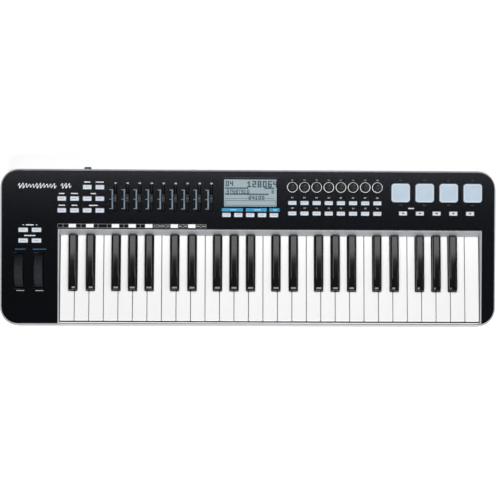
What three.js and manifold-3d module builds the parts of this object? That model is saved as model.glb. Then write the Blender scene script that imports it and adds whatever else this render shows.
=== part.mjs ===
// A 49-key controller keyboard, built the way it comes apart on a bench: a lower case, a sloping top panel with its
// control boards, a keybed of hinged keys, and every control that turns, slides or presses as a piece of its own.
// Millimetres, +X to the player's right, +Y to the rear, +Z up. The origin is the middle of the footprint, on the table.

import * as THREE from "three";
import { mergeVertices } from "three/addons/utils/BufferGeometryUtils.js";
import Module from "manifold-3d";

const wasm = await Module();
wasm.setup();

// ---------------------------------------------------------------- driving dimensions

const CLEARANCE = 0.3; // between pieces that rest on each other

const CASE_WIDTH = 804.8;
const CASE_DEPTH = 252.8;
const CASE_CORNER = 30;
const CASE_WALL = 5.2;
const CASE_FLOOR = 2.5;
const FOOT_HEIGHT = 4;
const FOOT_RADIUS = 9;
const FLOOR_TOP = FOOT_HEIGHT + CASE_FLOOR;
const RIM = 3.4; // how far the lower case stands out round the top panel
const SWITCH_PROUD = 5.5; // how far the power button stands out of the rear wall

// The deck is the sloping top. Its own frame has x to the right, v up the slope and h out of its surface.
const DECK_HEIGHT = 62; // deck surface above the table, over the middle of the case
const DECK_SLOPE = Math.atan(0.081);
const PANEL_WIDTH = CASE_WIDTH - 2 * RIM;
const PANEL_LENGTH = (CASE_DEPTH - 2 * RIM) / Math.cos(DECK_SLOPE);
const PANEL_CORNER = CASE_CORNER - RIM;
const PANEL_THICK = 2.5;
const PARTING = 7; // depth of the case's top edge below the deck surface
const SKIRT_WALL = 2;

const BOARD_TOP = -9.5; // control board's upper face, in h
const BOARD_THICK = 1.6;
const BOARD_PART_TOP = -7; // top of the encoder and slide bodies on the board
const SHAFT_END = -6.4; // lower end of the knob and slide shafts

const KEY_PITCH = 23.5;
const KEY_GAP = 0.9;
const WHITE_COUNT = 29;
const KEY_FIELD_CENTRE = 35;
const KEY_FIELD_LEFT = KEY_FIELD_CENTRE - (WHITE_COUNT * KEY_PITCH) / 2;
const KEY_FRONT = -118.5;
const WHITE_TOP = 50;
const WHITE_UNDERSIDE = 38;
const WHITE_LIP_BOTTOM = 34;
const WHITE_LIP_THICK = 4;
const KEY_SHELL = 1.6; // wall of the hollow keys
const BLACK_BASE_WIDTH = 13.2;
const BLACK_TOP_WIDTH = 10.2;
const BLACK_NOTCH_WIDTH = 15;
const BLACK_FRONT = -69.25;
const BLACK_TOP_FRONT = -64.65;
const BLACK_BACK = 19.3;
const BLACK_TOP = 61.5;
const BLACK_SHOULDER = 50.5;
const BLACK_UNDERSIDE = 42;
const TAIL_END = 60; // full-height part of a key ends here
const HINGE_END = 72;
const WHITE_HINGE_Z = [40, 46];
const BLACK_HINGE_Z = [47.5, 54];

const SURROUND_LEFT = -308.7;
const SURROUND_RIGHT = 378.6;
const CHEEK_WIDTH = 2.2;
const SURROUND_BACK = 28.9;
const SLIP_FRONT = -122.8;
const SLIP_BACK = -119.7;
const SLIP_TOP = 44;
const SURROUND_BOTTOM = 36;

// ---------------------------------------------------------------- shapes and booleans

function solidOf(geometry) {
  const bare = geometry.clone();
  bare.deleteAttribute("normal");
  bare.deleteAttribute("uv");
  const merged = mergeVertices(bare, 1e-4);
  const triVerts = Uint32Array.from(merged.index.array);
  const mesh = new wasm.Mesh({ numProp: 3, vertProperties: merged.attributes.position.array, triVerts });
  return new wasm.Manifold(mesh);
}

function geometryOf(solid) {
  const mesh = solid.getMesh();
  const geometry = new THREE.BufferGeometry();
  geometry.setAttribute("position", new THREE.BufferAttribute(Float32Array.from(mesh.vertProperties), 3));
  geometry.setIndex(new THREE.BufferAttribute(Uint32Array.from(mesh.triVerts), 1));
  geometry.computeVertexNormals();
  return geometry;
}

function boxSolid(x, y, z) {
  const box = new THREE.BoxGeometry(x[1] - x[0], y[1] - y[0], z[1] - z[0]);
  box.translate((x[0] + x[1]) / 2, (y[0] + y[1]) / 2, (z[0] + z[1]) / 2);
  return solidOf(box);
}

function extruded(shape, depth, curveSegments) {
  return new THREE.ExtrudeGeometry(shape, { depth, curveSegments, bevelEnabled: false });
}

function shapeOf(points) {
  return new THREE.Shape(points.map(([a, b]) => new THREE.Vector2(a, b)));
}

function roundedRectangle(width, depth, radius) {
  const w = width / 2 - radius;
  const d = depth / 2 - radius;
  const shape = new THREE.Shape();
  shape.absarc(w, -d, radius, -Math.PI / 2, 0);
  shape.absarc(w, d, radius, 0, Math.PI / 2);
  shape.absarc(-w, d, radius, Math.PI / 2, Math.PI);
  shape.absarc(-w, -d, radius, Math.PI, 1.5 * Math.PI);
  shape.closePath();
  return shape;
}

// An outline seen from above, standing from z[0] to z[1].
function upright(shape, z, curveSegments = 6) {
  return solidOf(extruded(shape, z[1] - z[0], curveSegments).translate(0, 0, z[0]));
}

// An outline of (y, z) points, running along X from x[0] to x[1].
function alongX(points, x) {
  const geometry = extruded(shapeOf(points), x[1] - x[0], 1);
  const turn = new THREE.Matrix4();
  turn.makeBasis(new THREE.Vector3(0, 1, 0), new THREE.Vector3(0, 0, 1), new THREE.Vector3(1, 0, 0));
  return solidOf(geometry.applyMatrix4(turn).translate(x[0], 0, 0));
}

// An outline of (x, z) points, running along Y from y[0] to y[1].
function alongY(points, y) {
  const geometry = extruded(shapeOf(points), y[1] - y[0], 1);
  return solidOf(geometry.rotateX(Math.PI / 2).translate(0, y[1], 0));
}

function rodZ(x, y, z, radius, sides) {
  const rod = new THREE.CylinderGeometry(radius, radius, z[1] - z[0], sides).rotateX(Math.PI / 2);
  return solidOf(rod.translate(x, y, (z[0] + z[1]) / 2));
}

function rodX(x, y, z, radius, sides) {
  const rod = new THREE.CylinderGeometry(radius, radius, x[1] - x[0], sides).rotateZ(Math.PI / 2);
  return solidOf(rod.translate((x[0] + x[1]) / 2, y, z));
}

function rodY(x, y, z, radius, sides) {
  const rod = new THREE.CylinderGeometry(radius, radius, y[1] - y[0], sides);
  return solidOf(rod.translate(x, (y[0] + y[1]) / 2, z));
}

function joined(solids) {
  return solids.reduce((whole, next) => whole.add(next));
}

function cut(solid, holes) {
  return holes.length ? solid.subtract(joined(holes)) : solid;
}

// Everything above the plane that runs parallel to the deck at height h.
function aboveDeck(h) {
  const block = new THREE.BoxGeometry(2 * CASE_WIDTH, 2 * CASE_DEPTH, 100).translate(0, 0, 50 + h);
  return solidOf(block.rotateX(DECK_SLOPE).translate(0, 0, DECK_HEIGHT));
}

// ---------------------------------------------------------------- the assembly's frames

const keyboard = new THREE.Group();

const body = new THREE.Group(); // y = 0 at the middle of the lower case
body.position.y = -SWITCH_PROUD / 2;
keyboard.add(body);

const deck = new THREE.Group();
deck.position.z = DECK_HEIGHT;
deck.rotation.x = DECK_SLOPE;
body.add(deck);

function addPart(parent, name, solid, look, place = [0, 0, 0]) {
  const material = new THREE.MeshStandardMaterial(look);
  const mesh = new THREE.Mesh(geometryOf(solid), material);
  mesh.name = name;
  mesh.position.set(...place);
  parent.add(mesh);
}

const SILVER_PLASTIC = { color: 0xc9ccd0, roughness: 0.45, metalness: 0.3 };
const BLACK_PLASTIC = { color: 0x15171b, roughness: 0.5, metalness: 0 };
const SATIN_SILVER = { color: 0x9a9ca0, roughness: 0.35, metalness: 0.7 };
const CHASSIS_GREY = { color: 0x5b5e63, roughness: 0.6, metalness: 0.2 };
const BOARD_GREEN = { color: 0x1d5a36, roughness: 0.5, metalness: 0 };
const SOFT_BLACK = { color: 0x1c1d20, roughness: 0.85, metalness: 0 };
const PALE_SILICONE = { color: 0xd3dcea, roughness: 0.6, metalness: 0 };
const WHITE_KEY = { color: 0xeeeeec, roughness: 0.2, metalness: 0 };
const BLACK_KEY = { color: 0x0b0b0d, roughness: 0.18, metalness: 0 };
const CLEAR_WINDOW = { color: 0xb7c6c8, roughness: 0.08, metalness: 0, transparent: true, opacity: 0.35 };

// ---------------------------------------------------------------- rear sockets

const REAR_FACE = CASE_DEPTH / 2;
const WALL_INSIDE = REAR_FACE - CASE_WALL;
const SOCKET_FACE = WALL_INSIDE - CLEARANCE;
const SOCKET_BOARD_Z = [38, 39.6];
const SOCKET_Z = 47.5; // height of the middle of every socket
const POWER_BUTTON = { x: -262.5, width: 11.5, height: 7 };
const DC_SOCKET = { x: -212, width: 10, height: 11, depth: 14, bore: 3 };
const USB_SOCKET = { x: -184, width: 12, height: 11, depth: 16, hollow: [8.6, 7.8, 11] };
const DIN_SOCKETS = { xs: [-150, -124], width: 20, height: 16, depth: 14, face: 7.8 };
const JACK_SOCKETS = { xs: [-90, -62], width: 16, height: 14, depth: 24, bore: 3.3 };

function throughRearWall(x, width, height) {
  return boxSolid(
    [x - width / 2, x + width / 2],
    [WALL_INSIDE - 2, REAR_FACE + 2],
    [SOCKET_Z - height / 2, SOCKET_Z + height / 2],
  );
}

function rearCutouts() {
  const ringCut = [WALL_INSIDE - 2, REAR_FACE + 2];
  return [
    throughRearWall(POWER_BUTTON.x, POWER_BUTTON.width + 1, POWER_BUTTON.height + 1),
    throughRearWall(USB_SOCKET.x, USB_SOCKET.width, USB_SOCKET.height),
    rodY(DC_SOCKET.x, ringCut, SOCKET_Z, DC_SOCKET.bore + 1.5, 16),
    ...DIN_SOCKETS.xs.map((x) => rodY(x, ringCut, SOCKET_Z, DIN_SOCKETS.face, 20)),
    ...JACK_SOCKETS.xs.map((x) => rodY(x, ringCut, SOCKET_Z, JACK_SOCKETS.bore + 2, 16)),
  ];
}

function socketBlock(x, socket) {
  return boxSolid(
    [x - socket.width / 2, x + socket.width / 2],
    [SOCKET_FACE - socket.depth, SOCKET_FACE],
    [SOCKET_BOARD_Z[1] - 0.2, SOCKET_Z + socket.height / 2],
  );
}

function boreInto(x, radius, depth) {
  return rodY(x, [SOCKET_FACE - depth, SOCKET_FACE + 1], SOCKET_Z, radius, 16);
}

function connectorBoard() {
  const board = boxSolid([-280, -46], [88, SOCKET_FACE], SOCKET_BOARD_Z);
  const switchBody = boxSolid(
    [POWER_BUTTON.x - 8, POWER_BUTTON.x + 8],
    [92, 108],
    [SOCKET_BOARD_Z[1] - 0.2, SOCKET_Z + 8],
  );
  const blocks = [
    socketBlock(DC_SOCKET.x, DC_SOCKET),
    socketBlock(USB_SOCKET.x, USB_SOCKET),
    ...DIN_SOCKETS.xs.map((x) => socketBlock(x, DIN_SOCKETS)),
    ...JACK_SOCKETS.xs.map((x) => socketBlock(x, JACK_SOCKETS)),
  ];
  const [usbWidth, usbHeight, usbDepth] = USB_SOCKET.hollow;
  const hollows = [
    boreInto(DC_SOCKET.x, DC_SOCKET.bore, 9),
    boxSolid(
      [USB_SOCKET.x - usbWidth / 2, USB_SOCKET.x + usbWidth / 2],
      [SOCKET_FACE - usbDepth, SOCKET_FACE + 1],
      [SOCKET_Z - usbHeight / 2, SOCKET_Z + usbHeight / 2],
    ),
    ...JACK_SOCKETS.xs.map((x) => boreInto(x, JACK_SOCKETS.bore, 20)),
  ];
  return cut(joined([board, switchBody, ...blocks]), hollows);
}

addPart(body, "connector_board", connectorBoard(), BOARD_GREEN);

function powerButton() {
  const cap = boxSolid(
    [-POWER_BUTTON.width / 2, POWER_BUTTON.width / 2],
    [WALL_INSIDE - 6, REAR_FACE + SWITCH_PROUD],
    [-POWER_BUTTON.height / 2, POWER_BUTTON.height / 2],
  );
  const stem = boxSolid([-2, 2], [111.5, WALL_INSIDE - 5.5], [-2, 2]);
  return cap.add(stem);
}

addPart(body, "power_button", powerButton(), SOFT_BLACK, [POWER_BUTTON.x, 0, SOCKET_Z]);

// ---------------------------------------------------------------- lower case and feet

const FOOT_X = 370;
const FOOT_Y = 100;
const CHASSIS_BOTTOM = 10;

// A wall in front of the connector board and a roof over it keep the sockets apart from the keys.
function socketPocket() {
  const [left, right] = [-286, -40];
  const [front, wallThick] = [84, 2];
  const [roofBottom, roofTop] = [55.8, 57.2];
  return [
    boxSolid([left, right], [front, front + wallThick], [FLOOR_TOP - 0.2, roofTop]),
    boxSolid([left, right], [front, WALL_INSIDE + 0.2], [roofBottom, roofTop]),
  ];
}

function lowerCase() {
  const outline = roundedRectangle(CASE_WIDTH, CASE_DEPTH, CASE_CORNER);
  const inside = roundedRectangle(CASE_WIDTH - 2 * CASE_WALL, CASE_DEPTH - 2 * CASE_WALL, CASE_CORNER - CASE_WALL);
  const shell = upright(outline, [FOOT_HEIGHT, 90]).subtract(upright(inside, [FLOOR_TOP, 91]));
  const frontRecess = boxSolid(
    [SURROUND_LEFT - CLEARANCE, SURROUND_RIGHT + CLEARANCE],
    [SLIP_FRONT - CLEARANCE, SLIP_FRONT + 5],
    [SURROUND_BOTTOM - CLEARANCE, 90],
  );
  const chassisRibs = [-240, -90, 60, 210, 350].map((x) =>
    boxSolid([x - 1.5, x + 1.5], [-105, 55], [FLOOR_TOP - 0.2, CHASSIS_BOTTOM - CLEARANCE]),
  );
  const boardPosts = [-300, -150, 0, 150, 300].map((x) => rodZ(x, 82, [FLOOR_TOP - 0.2, 80], 3.5, 8));
  const underBoard = aboveDeck(BOARD_TOP - BOARD_THICK - CLEARANCE);
  const socketPosts = [-200, -100].map((x) =>
    rodZ(x, 96, [FLOOR_TOP - 0.2, SOCKET_BOARD_Z[0] - CLEARANCE], 3.5, 8),
  );
  const open = cut(shell, [aboveDeck(-PARTING), frontRecess, ...rearCutouts()]);
  return joined([
    open,
    ...chassisRibs,
    ...boardPosts.map((post) => post.subtract(underBoard)),
    ...socketPosts,
    ...socketPocket(),
  ]);
}

addPart(body, "lower_case", lowerCase(), SILVER_PLASTIC);

function foot() {
  const outline = [
    [0, 0],
    [FOOT_RADIUS - 1, 0],
    [FOOT_RADIUS, 1],
    [FOOT_RADIUS, FOOT_HEIGHT - CLEARANCE],
    [0, FOOT_HEIGHT - CLEARANCE],
  ];
  const lathe = new THREE.LatheGeometry(
    outline.map(([r, y]) => new THREE.Vector2(r, y)),
    16,
  );
  return solidOf(lathe.rotateX(Math.PI / 2));
}

for (const [name, x, y] of [
  ["foot_front_left", -FOOT_X, -FOOT_Y],
  ["foot_front_right", FOOT_X, -FOOT_Y],
  ["foot_rear_left", -FOOT_X, FOOT_Y],
  ["foot_rear_right", FOOT_X, FOOT_Y],
]) {
  addPart(body, name, foot(), SOFT_BLACK, [x, y, 0]);
}

// ---------------------------------------------------------------- controls on the deck: where they are

const FADERS = { firstX: -215.8, pitch: 19.33, count: 9, v: 79.2, slotWidth: 3.4, slotLength: 40 };
const ENCODERS = { firstX: 70, pitch: 19.71, count: 8, v: 98.2, holeRadius: 4 };
const PADS = { firstX: 246, pitch: 39.13, count: 4, v: 90.1, side: 30.6 };
const WHEELS = { xs: [-370.6, -339.1], v: -38.6, radius: 30, width: 13.9, axisDepth: 17 };
const DISPLAY = { x: 2, v: 88.6, windowWidth: 89.2, windowLength: 48, viewWidth: 85.2, viewLength: 44.2 };

function row(firstX, pitch, count, v) {
  return Array.from({ length: count }, (_, i) => [firstX + i * pitch, v]);
}

// Each mat is one moulded sheet of silicone with its buttons standing on it.
const MATS = {
  page_button_mat: {
    size: [13.8, 7],
    places: [...row(-302.3, 20.4, 4, 59.2), ...row(-302.3, 20.4, 4, 78.2), ...row(-261.5, 20.4, 2, 96.8)],
  },
  octave_button_mat: { size: [15.2, 6.8], places: [...row(-364.3, 21.5, 2, 10.2), ...row(-364.3, 21.5, 2, 27.4)] },
  display_button_mat: { size: [13.5, 6.5], places: row(-36.6, 19.2, 5, 52.9) },
  channel_button_mat: {
    size: [13.1, 6.3],
    places: [...row(ENCODERS.firstX, ENCODERS.pitch, 8, 55.9), ...row(ENCODERS.firstX, ENCODERS.pitch, 8, 72.9)],
  },
  transport_button_mat: { size: [13.1, 6.4], places: row(249.9, 27.3, 5, 56.7) },
};
const MAT_WEB = [-4, -3];
const BUTTON_TOP = 1.8;
const BUTTON_CLEARANCE = 0.4;
const WEB_MARGIN = 2.2;

function places(controls) {
  return row(controls.firstX, controls.pitch, controls.count, controls.v);
}

function rectangleAt([x, v], width, length, h) {
  return boxSolid([x - width / 2, x + width / 2], [v - length / 2, v + length / 2], h);
}

// ---------------------------------------------------------------- top panel

const EAR_GAP = 0.6;
const EAR_THICK = 2.4;
const AXLE_RADIUS = 3;
const AXLE_SIDES = 16;

function wheelEars(x) {
  const inner = WHEELS.width / 2 + EAR_GAP;
  const v = [WHEELS.v - 7, WHEELS.v + 7];
  const h = [-WHEELS.axisDepth - 7, -PANEL_THICK + 0.5];
  const left = boxSolid([x - inner - EAR_THICK, x - inner], v, h);
  const right = boxSolid([x + inner, x + inner + EAR_THICK], v, h);
  return left.add(right);
}

function topPanel() {
  const outline = roundedRectangle(PANEL_WIDTH, PANEL_LENGTH, PANEL_CORNER);
  const inside = roundedRectangle(
    PANEL_WIDTH - 2 * SKIRT_WALL,
    PANEL_LENGTH - 2 * SKIRT_WALL,
    PANEL_CORNER - SKIRT_WALL,
  );
  const skirtBottom = -PARTING + CLEARANCE;
  const shell = upright(outline, [skirtBottom, 0]).subtract(upright(inside, [skirtBottom - 1, -PANEL_THICK]));
  const through = [-PANEL_THICK - 1, 1];
  const notchBack = (SURROUND_BACK + CLEARANCE) / Math.cos(DECK_SLOPE);
  const keyNotch = boxSolid(
    [SURROUND_LEFT - CLEARANCE, SURROUND_RIGHT + CLEARANCE],
    [-PANEL_LENGTH, notchBack],
    [skirtBottom - 1, 1],
  );
  const buttonHoles = Object.values(MATS).flatMap(({ size, places: spots }) =>
    spots.map((spot) => rectangleAt(spot, size[0] + 2 * BUTTON_CLEARANCE, size[1] + 2 * BUTTON_CLEARANCE, through)),
  );
  const padHoles = places(PADS).map((spot) => rectangleAt(spot, PADS.side + 1, PADS.side + 1, through));
  const faderSlots = places(FADERS).map((spot) => rectangleAt(spot, FADERS.slotWidth, FADERS.slotLength, through));
  const encoderHoles = places(ENCODERS).map(([x, v]) => rodZ(x, v, through, ENCODERS.holeRadius, 12));
  const wheelWells = WHEELS.xs.map((x) => rectangleAt([x, WHEELS.v], WHEELS.width + 1.6, 57, through));
  const axleHoles = WHEELS.xs.map((x) =>
    rodX([x - 15, x + 15], WHEELS.v, -WHEELS.axisDepth, AXLE_RADIUS + CLEARANCE, AXLE_SIDES),
  );
  const displaySpot = [DISPLAY.x, DISPLAY.v];
  const windowSeat = rectangleAt(
    displaySpot,
    DISPLAY.windowWidth + 2 * CLEARANCE,
    DISPLAY.windowLength + 2 * CLEARANCE,
    [-1.8, 1],
  );
  const viewHole = rectangleAt(displaySpot, DISPLAY.viewWidth, DISPLAY.viewLength, through);
  const ears = WHEELS.xs.map(wheelEars);
  return cut(joined([shell, ...ears]), [
    keyNotch,
    ...buttonHoles,
    ...padHoles,
    ...faderSlots,
    ...encoderHoles,
    ...wheelWells,
    ...axleHoles,
    windowSeat,
    viewHole,
  ]);
}

addPart(deck, "top_panel", topPanel(), BLACK_PLASTIC);

// ---------------------------------------------------------------- display and control board

const WINDOW_THICK = 1.5;
const MODULE_BOTTOM = BOARD_TOP + CLEARANCE;
const MODULE_TOP = -PANEL_THICK - CLEARANCE;

addPart(
  deck,
  "display_window",
  rectangleAt([0, 0], DISPLAY.windowWidth, DISPLAY.windowLength, [-WINDOW_THICK, 0]),
  CLEAR_WINDOW,
  [DISPLAY.x, DISPLAY.v, 0],
);

addPart(
  deck,
  "display_module",
  rectangleAt([0, 0], DISPLAY.windowWidth + 2, DISPLAY.windowLength, [MODULE_BOTTOM, MODULE_TOP]),
  BOARD_GREEN,
  [DISPLAY.x, DISPLAY.v, 0],
);

const BOARD_EDGE = 382;
const BOARD_V = [45, 112];
const BOARD_TONGUE_RIGHT = -322; // the board runs forward here, beside the keys, under the octave buttons
const BOARD_TONGUE_FRONT = -4;

function controlBoard() {
  const board = shapeOf([
    [-BOARD_EDGE, BOARD_TONGUE_FRONT],
    [BOARD_TONGUE_RIGHT, BOARD_TONGUE_FRONT],
    [BOARD_TONGUE_RIGHT, BOARD_V[0]],
    [BOARD_EDGE, BOARD_V[0]],
    [BOARD_EDGE, BOARD_V[1]],
    [-BOARD_EDGE, BOARD_V[1]],
  ]);
  const partHeight = [BOARD_TOP - 0.2, BOARD_PART_TOP];
  const slideBodies = places(FADERS).map((spot) => rectangleAt(spot, 8, 55, partHeight));
  const encoderBodies = places(ENCODERS).map((spot) => rectangleAt(spot, 12, 12, partHeight));
  return joined([upright(board, [BOARD_TOP - BOARD_THICK, BOARD_TOP]), ...slideBodies, ...encoderBodies]);
}

addPart(deck, "control_board", controlBoard(), BOARD_GREEN);

// ---------------------------------------------------------------- buttons and pads

function buttonMat({ size, places: spots }) {
  const xs = spots.map(([x]) => x);
  const vs = spots.map(([, v]) => v);
  const web = boxSolid(
    [Math.min(...xs) - size[0] / 2 - WEB_MARGIN, Math.max(...xs) + size[0] / 2 + WEB_MARGIN],
    [Math.min(...vs) - size[1] / 2 - WEB_MARGIN, Math.max(...vs) + size[1] / 2 + WEB_MARGIN],
    MAT_WEB,
  );
  return joined([web, ...spots.map((spot) => rectangleAt(spot, size[0], size[1], [MAT_WEB[0], BUTTON_TOP]))]);
}

for (const [name, mat] of Object.entries(MATS)) {
  addPart(deck, name, buttonMat(mat), PALE_SILICONE);
}

const PAD_CORNER = 3;
const PAD_TOP = 2.4;
const PAD_FLANGE = { side: 35, h: [-4.6, -3] };

function pad() {
  const cap = upright(roundedRectangle(PADS.side, PADS.side, PAD_CORNER), [PAD_FLANGE.h[0], PAD_TOP], 3);
  return cap.add(rectangleAt([0, 0], PAD_FLANGE.side, PAD_FLANGE.side, PAD_FLANGE.h));
}

places(PADS).forEach(([x, v], i) => addPart(deck, `pad_${i + 1}`, pad(), PALE_SILICONE, [x, v, 0]));

// ---------------------------------------------------------------- knobs, faders and wheels

function encoderKnob() {
  const outline = [
    [0, SHAFT_END],
    [3, SHAFT_END],
    [3, 0.8],
    [7, 0.8],
    [7, 3.2],
    [5.8, 4.4],
    [5.2, 14.4],
    [0, 15],
  ];
  const lathe = new THREE.LatheGeometry(
    outline.map(([r, y]) => new THREE.Vector2(r, y)),
    18,
  );
  return solidOf(lathe.rotateX(Math.PI / 2));
}

places(ENCODERS).forEach(([x, v], i) => addPart(deck, `encoder_${i + 1}`, encoderKnob(), SOFT_BLACK, [x, v, 0]));

const FADER_CAP = { width: 7.4, length: 14.2, bottom: 0.8, height: 10.5 };

function faderCap() {
  const end = FADER_CAP.length / 2;
  const top = FADER_CAP.height;
  const side = [
    [-end, FADER_CAP.bottom],
    [end, FADER_CAP.bottom],
    [end - 1.2, top],
    [end - 2.6, top],
    [1, top - 2.4],
    [-1, top - 2.4],
    [-end + 2.6, top],
    [-end + 1.2, top],
  ];
  const cap = alongX(side, [-FADER_CAP.width / 2, FADER_CAP.width / 2]);
  return cap.add(boxSolid([-1.1, 1.1], [-2.5, 2.5], [SHAFT_END, FADER_CAP.bottom + 0.5]));
}

places(FADERS).forEach(([x, v], i) => addPart(deck, `fader_${i + 1}`, faderCap(), SOFT_BLACK, [x, v, 0]));

function wheel() {
  const half = WHEELS.width / 2;
  const axle = half + EAR_GAP + EAR_THICK + 0.4;
  return rodX([-half, half], 0, 0, WHEELS.radius, 40).add(rodX([-axle, axle], 0, 0, AXLE_RADIUS, AXLE_SIDES));
}

["pitch_wheel", "modulation_wheel"].forEach((name, i) => {
  addPart(deck, name, wheel(), SOFT_BLACK, [WHEELS.xs[i], WHEELS.v, -WHEELS.axisDepth]);
});

// ---------------------------------------------------------------- surround and keybed chassis

function deckHeightAt(y) {
  return DECK_HEIGHT + y * Math.tan(DECK_SLOPE);
}

function keySurround() {
  const cheek = [
    [SLIP_FRONT, SURROUND_BOTTOM],
    [SURROUND_BACK, SURROUND_BOTTOM],
    [SURROUND_BACK, deckHeightAt(SURROUND_BACK)],
    [SLIP_FRONT, deckHeightAt(SLIP_FRONT)],
  ];
  const slip = [
    [SLIP_FRONT, SURROUND_BOTTOM],
    [SLIP_BACK, SURROUND_BOTTOM],
    [SLIP_BACK, SLIP_TOP],
    [SLIP_FRONT, SLIP_TOP],
  ];
  const fasciaFront = BLACK_BACK + KEY_GAP;
  const fascia = [
    [fasciaFront, WHITE_TOP + 1.3],
    [fasciaFront + 3.4, WHITE_TOP + 1.3],
    [SURROUND_BACK, deckHeightAt(SURROUND_BACK) - 4],
    [SURROUND_BACK, deckHeightAt(SURROUND_BACK)],
    [SURROUND_BACK - 1.9, deckHeightAt(SURROUND_BACK - 1.9)],
    [fasciaFront, WHITE_TOP + 3.2],
  ];
  const across = [SURROUND_LEFT, SURROUND_RIGHT];
  return joined([
    alongX(cheek, [SURROUND_LEFT, SURROUND_LEFT + CHEEK_WIDTH]),
    alongX(cheek, [SURROUND_RIGHT - CHEEK_WIDTH, SURROUND_RIGHT]),
    alongX(slip, across),
    alongX(fascia, across),
  ]);
}

addPart(body, "key_surround", keySurround(), SATIN_SILVER);

const CHASSIS_THICK = 2.4;

// One long section: a front stop, the base, a hinge shelf under the key tails, and a rear upright.
function keybedChassis() {
  const t = CHASSIS_THICK;
  const front = -113;
  const shelfTop = WHITE_HINGE_Z[0] - 1;
  const shelfFront = TAIL_END + 1.4;
  const uprightFront = HINGE_END + 1;
  const section = [
    [front, CHASSIS_BOTTOM],
    [shelfFront + t, CHASSIS_BOTTOM],
    [shelfFront + t, shelfTop - t],
    [uprightFront + t, shelfTop - t],
    [uprightFront + t, 55],
    [uprightFront, 55],
    [uprightFront, shelfTop],
    [shelfFront, shelfTop],
    [shelfFront, CHASSIS_BOTTOM + t],
    [front + t, CHASSIS_BOTTOM + t],
    [front + t, 22],
    [front, 22],
  ];
  return alongX(section, [KEY_FIELD_LEFT + 0.5, KEY_FIELD_LEFT + WHITE_COUNT * KEY_PITCH - 0.5]);
}

addPart(body, "keybed_chassis", keybedChassis(), CHASSIS_GREY);

// ---------------------------------------------------------------- keys

const WHITE_NAMES = ["c", "d", "e", "f", "g", "a", "b"];
// A black key follows these white keys. Its centre is off the line between the two whites by this much.
const BLACK_OFFSETS = { c: -2.5, d: 2.3, f: -3.5, g: 0, a: 3.3 };

function whiteCentre(index) {
  return KEY_FIELD_LEFT + (index + 0.5) * KEY_PITCH;
}

function whiteTail(step, isTop) {
  const half = KEY_PITCH / 2;
  const before = BLACK_OFFSETS[WHITE_NAMES[step - 1]];
  const after = isTop ? undefined : BLACK_OFFSETS[WHITE_NAMES[step]];
  const edge = (KEY_PITCH - KEY_GAP) / 2;
  const left = before === undefined ? -edge : -half + before + BLACK_NOTCH_WIDTH / 2;
  const right = after === undefined ? edge : half + after - BLACK_NOTCH_WIDTH / 2;
  return [left, right];
}

// A hollow white key about its own centre line: step counts the whites up from C.
function whiteKey(step, isTop = false) {
  const edge = (KEY_PITCH - KEY_GAP) / 2;
  const notchFront = BLACK_FRONT - KEY_GAP;
  const [left, right] = whiteTail(step, isTop);
  const outline = [[-edge, KEY_FRONT], [edge, KEY_FRONT]];
  if (right < edge) outline.push([edge, notchFront], [right, notchFront]);
  outline.push([right, TAIL_END], [left, TAIL_END]);
  if (left > -edge) outline.push([left, notchFront], [-edge, notchFront]);
  const plate = upright(shapeOf(outline), [WHITE_UNDERSIDE, WHITE_TOP]);
  const lip = boxSolid([-edge, edge], [KEY_FRONT, KEY_FRONT + WHITE_LIP_THICK], [WHITE_LIP_BOTTOM, WHITE_TOP - 2]);
  const hingeBlock = boxSolid([left, right], [TAIL_END - 1, HINGE_END], WHITE_HINGE_Z);
  const hollowZ = [WHITE_UNDERSIDE - 5, WHITE_TOP - 2.4];
  const headHollow = boxSolid(
    [-edge + KEY_SHELL, edge - KEY_SHELL],
    [KEY_FRONT + WHITE_LIP_THICK, notchFront - KEY_SHELL],
    hollowZ,
  );
  const tailHollow = boxSolid([left + KEY_SHELL, right - KEY_SHELL], [notchFront + KEY_SHELL, TAIL_END - 4], hollowZ);
  return cut(joined([plate, lip]), [headHollow, tailHollow]).add(hingeBlock);
}

// A hollow black key about its own centre line.
function blackKey() {
  const base = BLACK_BASE_WIDTH / 2;
  const top = BLACK_TOP_WIDTH / 2;
  const section = [
    [-base, BLACK_UNDERSIDE],
    [base, BLACK_UNDERSIDE],
    [base, BLACK_SHOULDER],
    [top, BLACK_TOP],
    [-top, BLACK_TOP],
    [-base, BLACK_SHOULDER],
  ];
  const slopedFront = alongX(
    [
      [BLACK_FRONT - 1, BLACK_SHOULDER],
      [BLACK_FRONT, BLACK_SHOULDER],
      [BLACK_TOP_FRONT, BLACK_TOP],
      [BLACK_TOP_FRONT, BLACK_TOP + 1],
      [BLACK_FRONT - 1, BLACK_TOP + 1],
    ],
    [-base - 1, base + 1],
  );
  const cap = cut(alongY(section, [BLACK_FRONT, BLACK_BACK]), [slopedFront]);
  const tail = boxSolid([-base, base], [BLACK_BACK - 2, TAIL_END - 1], [BLACK_UNDERSIDE, WHITE_TOP]);
  const hingeBlock = boxSolid([-base, base], [TAIL_END - 6, HINGE_END], BLACK_HINGE_Z);
  const capHollow = boxSolid([-top + 1, top - 1], [BLACK_FRONT + 8, BLACK_BACK - 3], [BLACK_UNDERSIDE - 1, BLACK_TOP - 3]);
  return cut(joined([cap, tail, hingeBlock]), [capHollow]);
}

function shifted(solid, x) {
  return solidOf(geometryOf(solid).translate(x, 0, 0));
}

function blackCentre(whiteIndex, name) {
  return whiteCentre(whiteIndex) + KEY_PITCH / 2 + BLACK_OFFSETS[name];
}

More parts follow.
